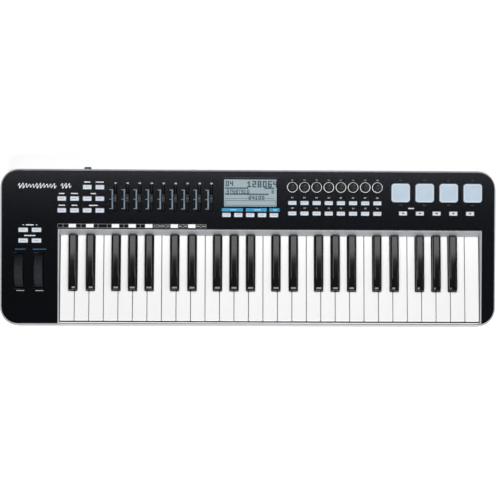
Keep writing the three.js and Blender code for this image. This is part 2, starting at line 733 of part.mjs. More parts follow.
// Seven white keys of an octave moulded as one comb, joined by the hinge rail at their tails.
function whiteComb(octave) {
  const first = octave * WHITE_NAMES.length;
  const keys = WHITE_NAMES.map((_, step) => shifted(whiteKey(step), whiteCentre(first + step)));
  const edge = (KEY_PITCH - KEY_GAP) / 2;
  const rail = boxSolid(
    [whiteCentre(first) - edge, whiteCentre(first + WHITE_NAMES.length - 1) + edge],
    [TAIL_END, HINGE_END],
    WHITE_HINGE_Z,
  );
  return joined([rail, ...keys]);
}

// The five black keys of an octave, joined by a rail that passes over the white keys' rail.
function blackComb(octave) {
  const first = octave * WHITE_NAMES.length;
  const centres = WHITE_NAMES.flatMap((name, step) => (name in BLACK_OFFSETS ? [blackCentre(first + step, name)] : []));
  const base = BLACK_BASE_WIDTH / 2;
  const rail = boxSolid(
    [centres[0] - base, centres[centres.length - 1] + base],
    [TAIL_END + 1, HINGE_END],
    BLACK_HINGE_Z,
  );
  return joined([rail, ...centres.map((x) => shifted(blackKey(), x))]);
}

const COMB_OCTAVES = [0, 1, 3];
const SINGLE_OCTAVE = 2;

for (const octave of COMB_OCTAVES) {
  addPart(body, `white_comb_${octave + 1}`, whiteComb(octave), WHITE_KEY);
  addPart(body, `black_comb_${octave + 1}`, blackComb(octave), BLACK_KEY);
}

WHITE_NAMES.forEach((name, step) => {
  const index = SINGLE_OCTAVE * WHITE_NAMES.length + step;
  addPart(body, `key_${name}`, whiteKey(step), WHITE_KEY, [whiteCentre(index), 0, 0]);
  if (name in BLACK_OFFSETS) {
    addPart(body, `key_${name}_sharp`, blackKey(), BLACK_KEY, [blackCentre(index, name), 0, 0]);
  }
});

addPart(body, "key_top_c", whiteKey(0, true), WHITE_KEY, [whiteCentre(WHITE_COUNT - 1), 0, 0]);

export default keyboard;
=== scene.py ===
"""The looks of a 49-key controller keyboard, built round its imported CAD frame.

Lengths are in millimetres until a mesh is made, with +X to the player's right, +Y to the rear and +Z up.
Outlines come from the CAD bodies' own faces, so every hole, button and key stays where the frame has it.
"""

import math
import random
from collections import namedtuple

import bpy
from mathutils import Matrix, Vector
from mathutils.geometry import tessellate_polygon


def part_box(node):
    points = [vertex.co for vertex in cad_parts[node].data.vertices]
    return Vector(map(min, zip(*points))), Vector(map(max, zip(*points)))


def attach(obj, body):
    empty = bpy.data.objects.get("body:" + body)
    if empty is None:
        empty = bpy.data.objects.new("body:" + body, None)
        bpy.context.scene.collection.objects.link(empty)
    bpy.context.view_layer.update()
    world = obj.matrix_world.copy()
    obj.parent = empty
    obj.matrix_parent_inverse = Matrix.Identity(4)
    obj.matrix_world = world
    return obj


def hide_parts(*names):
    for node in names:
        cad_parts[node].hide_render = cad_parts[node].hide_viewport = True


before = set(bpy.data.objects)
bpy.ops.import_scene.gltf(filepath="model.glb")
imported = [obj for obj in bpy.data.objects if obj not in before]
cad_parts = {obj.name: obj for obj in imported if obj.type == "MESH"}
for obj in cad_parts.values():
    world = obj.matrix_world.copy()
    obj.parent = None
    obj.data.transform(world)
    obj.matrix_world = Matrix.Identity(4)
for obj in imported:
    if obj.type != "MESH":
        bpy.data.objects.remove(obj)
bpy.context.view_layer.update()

MM = 0.001
LEVEL = Matrix.Identity(4)
Look = namedtuple("Look", "material slot")


def cad_box(node):
    """Lowest and highest corner of a CAD node, in millimetres."""
    low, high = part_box(node)
    return low / MM, high / MM


CASE_LOW, CASE_HIGH = cad_box("lower_case")
CASE_Y = (CASE_LOW.y + CASE_HIGH.y) / 2
DECK_SLOPE = math.atan(0.081)
DECK_HEIGHT = 62  # of the deck's surface, half way from the case's front to its rear
# The deck's own frame: x to the right, y up the slope, z out of the panel's surface.
DECK = Matrix.Translation((0, CASE_Y, DECK_HEIGHT)) @ Matrix.Rotation(DECK_SLOPE, 4, "X")
FACE_DOWN = Matrix.Rotation(math.pi, 4, "X")
# Turns that stand an outline up, so that it is extruded along X or along Y.
ALONG_X = Matrix(((0, 0, 1, 0), (1, 0, 0, 0), (0, 1, 0, 0), (0, 0, 0, 1)))
ALONG_Y = Matrix(((1, 0, 0, 0), (0, 0, -1, 0), (0, 1, 0, 0), (0, 0, 0, 1)))
INK = (-0.1, 0.05)  # a mark's underside and top, from the surface it is printed on


# ---------------- materials


def new_material(name):
    material = bpy.data.materials.new(name)
    material.use_nodes = True
    return material, material.node_tree.nodes, material.node_tree.links


def add_node(nodes, kind, **settings):
    """Adds a shader node with these values on its sockets."""
    node = nodes.new(kind)
    for name, value in settings.items():
        node.inputs[name].default_value = value
    return node


def mapped_noise(nodes, links, scale, stretch, detail):
    """Noise over the piece's own coordinates; stretch multiplies the scale along each axis."""
    coordinates = add_node(nodes, "ShaderNodeTexCoord")
    mapping = add_node(nodes, "ShaderNodeMapping", Scale=stretch)
    noise = add_node(nodes, "ShaderNodeTexNoise", Scale=scale, Detail=detail)
    links.new(coordinates.outputs["Object"], mapping.inputs["Vector"])
    links.new(mapping.outputs["Vector"], noise.inputs["Vector"])
    return noise


def ramp(nodes, links, source, low, high, first, last):
    """Maps source from low..high to the colours first..last."""
    node = add_node(nodes, "ShaderNodeValToRGB")
    node.color_ramp.elements[0].position = low
    node.color_ramp.elements[0].color = first
    node.color_ramp.elements[1].position = high
    node.color_ramp.elements[1].color = last
    links.new(source, node.inputs["Fac"])
    return node


def grey(value):
    return (value, value, value, 1)


def shade(color, factor):
    return tuple(min(1, c * factor) for c in color) + (1,)


def set_shader(nodes, **values):
    """Sets the shader's own sockets. Their names have underscores here where they have spaces."""
    for name, value in values.items():
        nodes["Principled BSDF"].inputs[name.replace("_", " ")].default_value = value


def surface(
    name,
    slot,
    color,
    roughness,
    *,
    metallic=0.0,
    grain=900.0,
    stretch=(1, 1, 1),
    bump=0.08,
    tint=0.12,
    gloss_spread=0.08,
    coat=0.0,
    subsurface=0.0,
    specular=0.5,
    specular_tint=(1, 1, 1),
    blotch=18.0,
):
    """A moulded, painted or rubber surface: fine grain in relief, slow changes in colour and gloss."""
    material, nodes, links = new_material(name)
    set_shader(
        nodes,
        Metallic=metallic,
        Specular_IOR_Level=specular,
        Specular_Tint=(*specular_tint, 1),
        Coat_Weight=coat,
        Coat_Roughness=0.12,
        Subsurface_Weight=subsurface,
        Subsurface_Radius=(0.004, 0.004, 0.005),
        Subsurface_Scale=0.3,
    )
    slow = mapped_noise(nodes, links, blotch, (1, 1, 1), 3.0)
    fine = mapped_noise(nodes, links, grain, stretch, 4.0)
    dark, pale = shade(color, 1 - tint), shade(color, 1 + tint)
    smooth, rough = grey(roughness - gloss_spread), grey(roughness + gloss_spread)
    colors = ramp(nodes, links, slow.outputs["Fac"], 0.3, 0.7, dark, pale)
    gloss = ramp(nodes, links, fine.outputs["Fac"], 0.35, 0.65, smooth, rough)
    relief = add_node(nodes, "ShaderNodeBump", Strength=bump, Distance=0.0002)
    shader = nodes["Principled BSDF"]
    links.new(colors.outputs["Color"], shader.inputs["Base Color"])
    links.new(gloss.outputs["Color"], shader.inputs["Roughness"])
    links.new(fine.outputs["Fac"], relief.inputs["Height"])
    links.new(relief.outputs["Normal"], shader.inputs["Normal"])
    return Look(material, slot)


def clear_window(name, slot):
    """Thin clear acrylic: mostly see-through, with a polished face."""
    material, nodes, links = new_material(name)
    set_shader(nodes, Base_Color=(0.02, 0.025, 0.03, 1), Alpha=0.1)
    dust = mapped_noise(nodes, links, 400.0, (1, 1, 1), 5.0)
    gloss = ramp(nodes, links, dust.outputs["Fac"], 0.4, 0.8, grey(0.04), grey(0.12))
    links.new(gloss.outputs["Color"], nodes["Principled BSDF"].inputs["Roughness"])
    return Look(material, slot)


def glowing_silicone(name, slot, color, glow):
    """Pale silicone with a faint painted glow in its emission, so that it comes out a little brighter than
    its surface alone would be.
    """
    look = surface(name, slot, color, 0.5, grain=700.0, bump=0.05, tint=0.04, subsurface=0.25, blotch=60)
    set_shader(look.material.node_tree.nodes, Emission_Color=shade(color, 1.0), Emission_Strength=glow)
    return look


def ink(name, color, roughness=0.6, tint=0.1, blotch=18.0):
    """Matt printing, whose Look carries the case's slot name."""
    return surface(name, "case_silver", color, roughness, tint=tint, blotch=blotch)


PANEL = surface(
    "panel_black", "panel_black", (0.0004, 0.0005, 0.001), 0.14, grain=1600.0, bump=0.015, tint=0.15,
    gloss_spread=0.015, specular=0.9, specular_tint=(0.8, 0.86, 1.0),
)
CASE = surface("case_silver", "case_silver", (0.5, 0.51, 0.53), 0.48, grain=1300.0, bump=0.12, tint=0.03)
SILVER = surface(
    "surround_silver", "surround_silver", (0.4, 0.42, 0.44), 0.42, metallic=0.25, grain=1800.0,
    stretch=(0.7, 1, 1), bump=0.1, tint=0.06, gloss_spread=0.05,
)
# A much paler copy of the surround silver for the slip's top: a painted highlight for the light that top
# catches.
SILVER_HIGHLIGHT = surface(
    "surround_painted_highlight", "surround_silver", (0.9, 0.9, 0.92), 0.35, metallic=0.1, grain=500.0,
    stretch=(0.3, 4, 4), bump=0.04, tint=0.04,
)
# A dark strip along the slip's front edge: painted shadow in the gap there.
SHADOW_GAP = surface("painted_shadow_gap", "surround_silver", (0.07, 0.07, 0.075), 0.6, specular=0.2)
CHASSIS = surface("chassis_grey", "chassis_grey", (0.1, 0.1, 0.105), 0.6)
BOARD = surface(
    "circuit_board", "circuit_board", (0.015, 0.09, 0.035), 0.4, grain=300.0, bump=0.2, tint=0.3
)
WHITE_KEY = surface(
    "key_white", "key_white", (0.853, 0.853, 0.85), 0.24, bump=0.006, tint=0.006, coat=0.5,
    gloss_spread=0.01, subsurface=0.05,
)
BLACK_KEY = surface(
    "key_black", "key_black", (0.006, 0.006, 0.0065), 0.06, grain=420.0, stretch=(3, 0.25, 3), bump=0.004,
    tint=0.1, gloss_spread=0.015, specular=0.35,
)
DARK_CAP = surface(
    "cap_dark", "cap_black", (0.006, 0.0062, 0.008), 0.5, grain=1500.0, bump=0.12, specular=0.25
)
# A paler copy of the dark cap plastic: a painted highlight on the knobs' dished tops and the faders' saddles;
# on the transport buttons it is the print of their marks.
CAP_HIGHLIGHT_AND_MARK = surface("cap_highlight_and_mark", "cap_black", (0.02, 0.021, 0.024), 0.42, grain=1500.0, specular=0.3)
# A matt black band round each fader slot: painted shade for the recess round the slot.
SLOT_SHADE = surface("painted_slot_shade", "panel_black", (0.0006, 0.0006, 0.0008), 0.9, specular=0.1)
WHEEL = surface(
    "wheel_rubber", "wheel_rubber", (0.013, 0.0135, 0.017), 0.5, grain=1100.0, bump=0.2, specular=0.15
)
FOOT = surface("foot_rubber", "foot_rubber", (0.018, 0.018, 0.018), 0.85, grain=600.0, bump=0.3)
SWITCH = surface("switch_black", "switch_black", (0.03, 0.04, 0.06), 0.4, grain=1200.0)
METAL = surface(
    "socket_metal", "surround_silver", (0.6, 0.6, 0.6), 0.3, metallic=1.0, grain=800.0,
    stretch=(1, 6, 1), bump=0.04, tint=0.06,
)
DARK_METAL = surface("screw_metal", "surround_silver", (0.12, 0.12, 0.125), 0.35, metallic=1.0)
FELT = surface("slot_felt", "foot_rubber", (0.008, 0.008, 0.009), 0.95, grain=2500.0, bump=0.6)
# The pads and buttons carry a faint painted glow in their emission.
PAD = glowing_silicone("pad_silicone", "pad_silicone", (0.44, 0.55, 0.66), 0.05)
# The pad's rim is a paler copy of the pad silicone with a stronger glow: a painted highlight along the rolled
# rim.
RIM_HIGHLIGHT = glowing_silicone("pad_rim_highlight", "pad_silicone", (0.62, 0.68, 0.76), 0.08)
BUTTON = glowing_silicone("button_silicone", "button_silicone", (0.62, 0.67, 0.74), 0.05)
BUTTON_MARK = surface("button_mark", "button_silicone", (0.33, 0.38, 0.47), 0.6, tint=0.1)
WHITE_INK = ink("white_ink", (0.88, 0.89, 0.92), tint=0.04)
GREY_INK = ink("grey_ink", (0.16, 0.165, 0.17))
SCALE_INK = ink("scale_ink", (0.17, 0.235, 0.3))
BLUE_INK = ink("blue_ink", (0.008, 0.27, 0.5), 0.5, tint=0.25, blotch=90.0)
PALE_BLUE_INK = ink("pale_blue_ink", (0.32, 0.62, 0.85), 0.5)
WHEEL_INK = ink("wheel_ink", (0.015, 0.085, 0.2))
DIM_INK = ink("dim_ink", (0.46, 0.46, 0.47))
DIM_BLUE_INK = ink("dim_blue_ink", (0.026, 0.05, 0.08))
LCD_FACE = surface(
    "display_face", "display_face", (0.45, 0.58, 0.62), 0.5, grain=1800.0, bump=0.02, tint=0.07
)
LCD_DARK = surface(
    "display_pixels", "display_face", (0.012, 0.026, 0.06), 0.6, tint=0.2, blotch=300.0
)
LCD_MASK = surface("display_mask", "panel_black", (0.012, 0.013, 0.016), 0.3, tint=0.1)
WINDOW = clear_window("display_glass", "display_glass")


# ---------------- outlines


FACES_UP = 0.9  # a face counts as facing up if this much of its normal points up
SAME_HEIGHT = 0.05  # heights that differ by less are the same


def face_outlines(node, height, place=LEVEL):
    """Outlines of the node's upward faces at this height in the given frame.

    They run counter-clockwise round the material, so a hole in it runs clockwise.
    """
    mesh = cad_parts[node].data
    to_local = place.inverted()
    up = (place.to_3x3() @ Vector((0, 0, 1))).normalized()
    points = [to_local @ (vertex.co / MM) for vertex in mesh.vertices]
    edges = set()
    for polygon in mesh.polygons:
        corners = [points[i] for i in polygon.vertices]
        level = all(abs(corner.z - height) < SAME_HEIGHT for corner in corners)
        if level and polygon.normal.dot(up) > FACES_UP:
            keys = [(round(c.x, 2), round(c.y, 2)) for c in corners]
            edges.update(zip(keys, keys[1:] + keys[:1]))
    following = {a: b for a, b in edges if (b, a) not in edges}
    loops = []
    while following:
        start = min(following)
        loop, here = [start], following.pop(start)
        while here != start:
            loop.append(here)
            here = following.pop(here)
        loops.append([Vector(point) for point in loop])
    return loops


def span(loop):
    """Lowest and highest corner of an outline."""
    xs = [point.x for point in loop]
    ys = [point.y for point in loop]
    return Vector((min(xs), min(ys))), Vector((max(xs), max(ys)))


def middle(loop):
    low, high = span(loop)
    return (low + high) / 2


def rectangle(x, y, width, length):
    w, d = width / 2, length / 2
    return [Vector(p) for p in ((x - w, y - d), (x + w, y - d), (x + w, y + d), (x - w, y + d))]


def circle(x, y, radius, sides=32):
    steps = (math.tau * i / sides for i in range(sides))
    return [Vector((x + radius * math.cos(t), y + radius * math.sin(t))) for t in steps]


def hole(loop):
    """The same outline run the other way, with the material outside it."""
    return loop[::-1]


CORNER_ROOM = 0.499  # the share of an edge that the rounding of each of its ends may take
FACET_TURN = math.radians(35)  # a smaller turn than this is one facet of a curve
STRAIGHT_TURN = math.radians(0.5)  # and a smaller one than this is no corner at all


def corner_samples(loop, radius, steps):
    """A closed outline with its corners rounded, as (centre, direction, radius, side) for ring() below."""
    samples = []
    for before, here, after in zip(loop[-1:] + loop[:-1], loop, loop[1:] + loop[:1]):
        into, out = here - before, after - here
        turn = math.atan2(into.x * out.y - into.y * out.x, into.dot(out))
        if abs(turn) < STRAIGHT_TURN:
            continue
        room = CORNER_ROOM * min(into.length, out.length)
        reach = math.tan(abs(turn) / 2)
        is_facet = abs(turn) < FACET_TURN
        arc = room / reach if is_facet else min(radius, room / reach)
        side = 1 if turn > 0 else -1
        into.normalize()
        normal = Vector((-into.y, into.x)) * side
        centre = here - into * arc * reach + normal * arc
        count = 2 if is_facet else steps
        for i in range(count + 1):
            cos, sin = math.cos(turn * i / count), math.sin(turn * i / count)
            direction = Vector((normal.y * sin - normal.x * cos, -normal.x * sin - normal.y * cos))
            samples.append((centre, direction, arc, side))
    return samples


def ring(samples, inset):
    """The outline's points, moved into the material by inset."""
    return [centre + direction * (arc - side * inset) for centre, direction, arc, side in samples]


# ---------------- solids as (vertices, faces)


def merged(*solids):
    vertices, faces = [], []
    for some_vertices, some_faces in solids:
        start = len(vertices)
        vertices.extend(some_vertices)
        faces.extend(tuple(start + i for i in face) for face in some_faces)
    return vertices, faces


def moved(solid, matrix):
    vertices, faces = solid
    return [matrix @ Vector(v) for v in vertices], faces


def raised(solid, height):
    return moved(solid, Matrix.Translation((0, 0, height)))


def cap(loops, first_index, upward):
    """Faces that fill the outlines, whose vertices follow each other from first_index."""
    if len(loops) == 1:
        face = tuple(range(first_index, first_index + len(loops[0])))
        return [face if upward else face[::-1]]
    points = [point for loop in loops for point in loop]
    faces = []
    for a, b, c in tessellate_polygon([[point.to_3d() for point in loop] for loop in loops]):
        area = (points[b] - points[a]).cross(points[c] - points[a])
        ordered = (a, b, c) if (area > 0) == upward else (a, c, b)
        faces.append(tuple(first_index + i for i in ordered))
    return faces


def side_faces(low, high, count):
    """The faces between two rings of count vertices, which start at the indices low and high."""
    faces = []
    for i in range(count):
        j = (i + 1) % count
        faces.append((low + i, low + j, high + j, high + i))
    return faces


LEAST_RADIUS = 0.001


def plate(loops, levels, radius=0.0, steps=4):
    """A solid over outlines with corners rounded by radius. levels are (inset, height), bottom to top."""
    outlines = [corner_samples(loop, max(radius, LEAST_RADIUS), steps) for loop in loops]
    vertices, faces = [], []
    starts = []
    for inset, height in levels:
        starts.append(len(vertices))
        for samples in outlines:
            vertices.extend(point.to_3d() + Vector((0, 0, height)) for point in ring(samples, inset))
    for low, high in zip(starts, starts[1:]):
        for samples in outlines:
            faces.extend(side_faces(low, high, len(samples)))
            low += len(samples)
            high += len(samples)
    for level, start, upward in ((0, starts[0], False), (-1, starts[-1], True)):
        rings = [ring(samples, levels[level][0]) for samples in outlines]
        faces.extend(cap(rings, start, upward))
    return vertices, faces


def slab(outline, bottom, top, radius=0.0, over=0.0, inner=None):
    """A plate with straight sides over one outline, with the inner outline left open."""
    loops = [outline, hole(inner)] if inner else [outline]
    return plate(loops, rounded(bottom, top, over=over), radius)


def rounded(bottom, top, under=0.0, over=0.0, steps=3):
    """Levels for plate(): straight sides with the lower edge rounded by under and the upper by over."""
    turns = [math.pi / 2 * i / steps for i in range(steps + 1)]
    lower = [(under * (1 - math.sin(t)), bottom + under * (1 - math.cos(t))) for t in turns]
    upper = [(over * (1 - math.cos(t)), top - over * (1 - math.sin(t))) for t in turns]
    return (lower if under else [(0.0, bottom)]) + (upper if over else [(0.0, top)])


def loft(rings):
    """A solid through rings of equal length, closed by a face at each end."""
    vertices = [Vector(point) for ring_points in rings for point in ring_points]
    count = len(rings[0])
    faces = []
    for start in range(0, len(vertices) - count, count):
        faces.extend(side_faces(start, start + count, count))
    faces.append(tuple(reversed(range(count))))
    faces.append(tuple(range(len(vertices) - count, len(vertices))))
    return vertices, faces


def lathe(profile, sides, ripple=None):
    """A turned solid round Z, from (radius, height) points upwards; ripple(angle, index) adds to a radius."""
    rings = []
    for index, (radius, height) in enumerate(profile):
        points = []
        for angle in (math.tau * side / sides for side in range(sides)):
            r = radius + (ripple(angle, index) if ripple else 0.0)
            points.append((r * math.cos(angle), r * math.sin(angle), height))
        rings.append(points)
    return loft(rings)


# ---------------- pieces


FLAT = 0.9999  # a face whose normal is this close to an axis of its piece is shaded flat
CREASE = math.radians(32)  # edges that turn more than this are sharp


def add_piece(name, solid, look, body="root", stands_for=None, place=LEVEL):
    """Makes a mesh from a solid in the given frame, and rides it on its body in place of a CAD node."""
    vertices, faces = solid
    mesh = bpy.data.meshes.new(name)
    mesh.from_pydata([(place @ Vector(v)) * MM for v in vertices], [], faces)
    mesh.set_sharp_from_angle(angle=CREASE)
    upright = place.to_3x3().inverted()
    for face in mesh.polygons:
        normal = upright @ face.normal
        face.use_smooth = max(abs(normal.x), abs(normal.y), abs(normal.z)) < FLAT
    mesh.materials.append(look.material)
    piece = bpy.data.objects.new(name, mesh)
    bpy.context.scene.collection.objects.link(piece)
    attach(piece, body)
    if stands_for:
        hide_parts(stands_for)
    return piece


def add_to_deck(name, solid, look, body="root", stands_for=None):
    add_piece(name, solid, look, body, stands_for, DECK)


def cut_away(piece, solids):
    """Cuts solids out of a piece that isn't turned or moved, and keeps the result as its mesh."""
    tool_mesh = bpy.data.meshes.new("cutter")
    vertices, faces = merged(*solids)
    tool_mesh.from_pydata([v * MM for v in vertices], [], faces)
    tool = bpy.data.objects.new("cutter", tool_mesh)
    bpy.context.scene.collection.objects.link(tool)
    boolean = piece.modifiers.new("cut", "BOOLEAN")
    boolean.operation = "DIFFERENCE"
    boolean.solver = "EXACT"
    boolean.object = tool
    boolean.use_self = False
    bpy.context.view_layer.update()
    graph = bpy.context.evaluated_depsgraph_get()
    result = bpy.data.meshes.new_from_object(piece.evaluated_get(graph))
    piece.modifiers.remove(boolean)
    piece.data = result
    result.set_sharp_from_angle(angle=CREASE)
    bpy.data.objects.remove(tool)


def dress(node, look):
    """Gives a CAD node that stays its material."""
    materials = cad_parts[node].data.materials
    materials.clear()
    materials.append(look.material)


# ---------------- lower case

WALL = 5.2
CASE_CORNER = 30.0
PARTING = 7.0  # from the deck's surface down to the joint between panel and case
FOOT_HEIGHT = CASE_LOW.z
CASE_FLOOR_TOP = FOOT_HEIGHT + 2.5


def deck_plane(point, h):
    """Height of the plane h above the deck's surface, over this point."""
    return DECK_HEIGHT + (point.y - CASE_Y) * math.tan(DECK_SLOPE) + h / math.cos(DECK_SLOPE)


def lower_case_solid():
    """A tray: rounded underside, upright wall, an edge parallel to the deck, and the inside to its floor."""
    follows_deck = 1000.0  # levels above this are heights from the deck plane
    top = follows_deck * 2 - PARTING
    edge = 0.7
    levels = rounded(FOOT_HEIGHT, 30, under=5, steps=6)[:-1]
    for turn in (0, 0.52, 1.05, math.pi / 2):
        levels.append((edge * (1 - math.cos(turn)), top - edge * (1 - math.sin(turn))))
    levels += [(WALL, top), (WALL, CASE_FLOOR_TOP)]
    outline = rectangle(0, CASE_Y, CASE_HIGH.x - CASE_LOW.x, CASE_HIGH.y - CASE_LOW.y)
    vertices, faces = plate([outline], levels, CASE_CORNER, 16)
    for vertex in vertices:
        if vertex.z > follows_deck:
            vertex.z = deck_plane(vertex, vertex.z - follows_deck * 2)
    return vertices, faces


SURROUND_LOW, SURROUND_HIGH = cad_box("key_surround")
REAR = CASE_HIGH.y
SOCKET_FACE = cad_box("connector_board")[1].y
POWER_LOW, POWER_HIGH = cad_box("power_button")
POWER_X = (POWER_LOW.x + POWER_HIGH.x) / 2
# The middles of the rear openings, as the CAD has them.
SOCKET_Z = 47.5
DC_X, USB_X = -212.0, -184.0
DIN_XS = (-150.0, -124.0)
JACK_XS = (-90.0, -62.0)


def rear_cutter(outline):
    """A prism through the rear wall over an (x, z) outline."""
    return moved(slab(outline, -REAR - 2, -REAR + 9, 0.8), ALONG_Y)


def make_lower_case():
    shell = add_piece("case_shell", lower_case_solid(), CASE, stands_for="lower_case")
    middle_x = (SURROUND_LOW.x + SURROUND_HIGH.x) / 2
    front = rectangle(middle_x, SURROUND_LOW.y + 2, SURROUND_HIGH.x - SURROUND_LOW.x + 0.6, 4.6)
    cutters = [
        slab(front, SURROUND_LOW.z - 0.3, 80),
        rear_cutter(rectangle(POWER_X, SOCKET_Z, 12.5, 8)),
        rear_cutter(rectangle(USB_X, SOCKET_Z, 12, 11)),
        rear_cutter(circle(DC_X, SOCKET_Z, 4.5)),
    ]
    cutters += [rear_cutter(circle(x, SOCKET_Z, 7.8)) for x in DIN_XS]
    cutters += [rear_cutter(circle(x, SOCKET_Z, 5.3)) for x in JACK_XS]
    cut_away(shell, cutters)


def make_feet():
    """Each foot is a rubber puck with a groove round its underside and a bevelled edge."""
    underside = [(0.1, 0), (5.0, 0), (5.2, 0.35), (5.8, 0.35), (6.0, 0), (7.6, 0), (8.6, 0.35)]
    for foot in ("foot_front_left", "foot_front_right", "foot_rear_left", "foot_rear_right"):
        low, high = cad_box(foot)
        place = Matrix.Translation(((low.x + high.x) / 2, (low.y + high.y) / 2, 0))
        profile = underside + [(9, 1.0), (9, 3.4), (8.7, high.z), (0.1, high.z)]
        add_piece(foot + "_pad", lathe(profile, 40), FOOT, stands_for=foot, place=place)


def cross_outline(arm, width):
    """A plus-shaped outline, as a screwdriver sees it."""
    a, w = arm / 2, width / 2
    side, points = [(-w, -a), (w, -a), (w, -w)], []
    for _ in range(4):
        points += side
        side = [(-y, x) for x, y in side]
    return [Vector(point) for point in points]


def make_screws():
    """Cross-headed screws let into the underside."""
    spots = [(x, y) for x in (-376, -188, 0, 188, 376) for y in (-66, 60)]
    spots += [(x, y) for x in (-188, 0, 188) for y in (-112, 108)]
    head = slab(circle(0, 0, 3.4), -0.6, 0.35, 0.1, over=0.3, inner=cross_outline(3.6, 0.9))
    screw = merged(head, slab(circle(0, 0, 3.0), -1.4, -0.5))
    collar = slab(circle(0, 0, 5.2), -0.4, 0.12, over=0.1, inner=circle(0, 0, 3.9))
    for number, (x, y) in enumerate(spots):
        place = Matrix.Translation((x, y + CASE_Y, FOOT_HEIGHT)) @ FACE_DOWN
        add_piece(f"screw_{number + 1}", screw, DARK_METAL, place=place)
        add_piece(f"screw_collar_{number + 1}", collar, CASE, place=place)


def make_rating_plate():
    """A blank plate, and two rows of dark slabs on the underside as painted shade where vent slots would
    open.
    """
    place = Matrix.Translation((0, CASE_Y, FOOT_HEIGHT)) @ FACE_DOWN
    blank = slab(rectangle(0, 20, 92, 44), -0.3, 0.15, 3, over=0.12)
    add_piece("rating_plate", blank, GREY_INK, place=place)
    slots = [rectangle(start + 9 * i, 20, 3, 34) for start in (-250, 187) for i in range(8)]
    # dark slabs as painted shade in place of vent openings
    vents = merged(*(slab(slot, -0.3, 0.1, 1.4) for slot in slots))
    add_piece("underside_vent_shade", vents, FELT, place=place)


# ---------------- top panel

PANEL_THICK = 2.5
# Heights from the deck's surface.
WINDOW_SEAT = -1.8
EARS_BOTTOM = -24


def under_outlines(node, height, place):
    """Outlines of the node's downward faces at this height, counter-clockwise seen from above."""
    loops = face_outlines(node, -height, place @ FACE_DOWN)
    return [[Vector((point.x, -point.y)) for point in reversed(loop)] for loop in loops]


def make_top_panel():
    """The black plate with all its openings, the skirt it stands on, and the ears for the wheels' axles."""
    skirt_bottom = -PARTING + 0.3
    parts = (
        (face_outlines("top_panel", 0, DECK), rounded(-PANEL_THICK, 0, over=0.3)),
        (face_outlines("top_panel", WINDOW_SEAT, DECK), rounded(-PANEL_THICK, WINDOW_SEAT)),
        (under_outlines("top_panel", skirt_bottom, DECK), rounded(skirt_bottom, -PANEL_THICK)),
        (under_outlines("top_panel", EARS_BOTTOM, DECK), rounded(EARS_BOTTOM, -PANEL_THICK)),
    )
    solid = merged(*(plate(loops, levels, 0.9) for loops, levels in parts))
    add_to_deck("panel_top", solid, PANEL, stands_for="top_panel")


# ---------------- key surround

BLACK_CAP_LENGTH = 88.55  # of a black key, up to where it goes under the fascia
KEY_CLEARANCE = 0.9


def make_surround():
    """Satin silver: a raked fascia behind the keys, a cheek at each end, and a slip along the front."""
    rear, front = SURROUND_HIGH.y, SURROUND_LOW.y
    left, right = SURROUND_LOW.x, SURROUND_HIGH.x
    bottom, cheek = SURROUND_LOW.z, 2.2
    white_top = cad_box("key_top_c")[1].z
    fascia_front = cad_box("key_c_sharp")[0].y + BLACK_CAP_LENGTH + KEY_CLEARANCE
    front_top = deck_plane(Vector((0, front, 0)), 0)
    rear_top = deck_plane(Vector((0, rear, 0)), 0)
    section = (
        (fascia_front, white_top + 1.3),
        (fascia_front + 3.4, white_top + 1.3),
        (rear, rear_top - 4),
        (rear, rear_top),
        (rear - 1.2, rear_top - 0.1),
        (fascia_front, white_top + 3.2),
    )
    fascia = slab([Vector(point) for point in section], left + cheek - 0.1, right - cheek + 0.1, 0.5)
    add_piece("surround_fascia", moved(fascia, ALONG_X), SILVER, stands_for="key_surround")
    section = ((front, bottom), (rear, bottom), (rear, rear_top), (front, front_top))
    sides = []
    for start in (left, right - cheek):
        levels = rounded(start, start + cheek, 0.5, 0.5)
        sides.append(moved(plate([[Vector(point) for point in section]], levels, 1.0), ALONG_X))
    add_piece("surround_cheeks", merged(*sides), SILVER)
    for name, start, end, height, look in (
        # a dark strip at the slip's front edge, as painted shadow
        ("surround_shadow_gap", 0, 0.7, 5.5, SHADOW_GAP),
        # the slip's paler silver is a painted highlight
        ("surround_slip", 0.7, 2.2, 8, SILVER_HIGHLIGHT),
    ):
        outline = rectangle(front + (start + end) / 2, bottom + height / 2, end - start, height)
        levels = rounded(left + 0.2, right - 0.2, 0.2, 0.2)
        add_piece(name, moved(plate([outline], levels, 0.2), ALONG_X), look)


# ---------------- keys

# Heights from the table.
WHITE_UNDERSIDE = 38.0
WHITE_LIP_BOTTOM = 34.0
BLACK_UNDERSIDE = 42.0
BLACK_SHOULDER = 50.5
LIP_THICK = 4.0
BLACK_BASE_HALF, BLACK_BROW_HALF, BLACK_TOP_HALF = 6.6, 6.5, 4.6  # half widths from the bottom up
BLACK_BROW_DROP = 1.2
WHITE_NODES = ["white_comb_1", "white_comb_2", "white_comb_4", "key_top_c"]
WHITE_NODES += [f"key_{n}" for n in "cdefgab"]
BLACK_NODES = ["black_comb_1", "black_comb_2", "black_comb_4"] + [f"key_{n}_sharp" for n in "cdfga"]


def white_key_solid(outline, top):
    """A key with a rounded top, a nose that stands a little over its front face, and a deep front lip."""
    low, high = span(outline)
    nose = 0.7
    levels = [(nose, WHITE_UNDERSIDE), (nose, top - 4.2), (0.3, top - 3.7), (0.0, top - 3.1)]
    levels += rounded(top - 2, top, over=0.9, steps=4)[1:]
    key = plate([outline], levels, 1.3, 5)
    x, width = (low.x + high.x) / 2, high.x - low.x - 2 * nose
    lip_outline = rectangle(x, low.y + nose + LIP_THICK / 2, width, LIP_THICK)
    lip = plate([lip_outline], rounded(WHITE_LIP_BOTTOM, WHITE_UNDERSIDE + 1, under=1.0), 0.9)
    left, right = span([point for point in outline if point.y > high.y - 1])
    block = rectangle((left.x + right.x) / 2, high.y + 6, min(9.0, right.x - left.x), 12.4)
    return merged(key, lip, slab(block, 40, 46, 1))


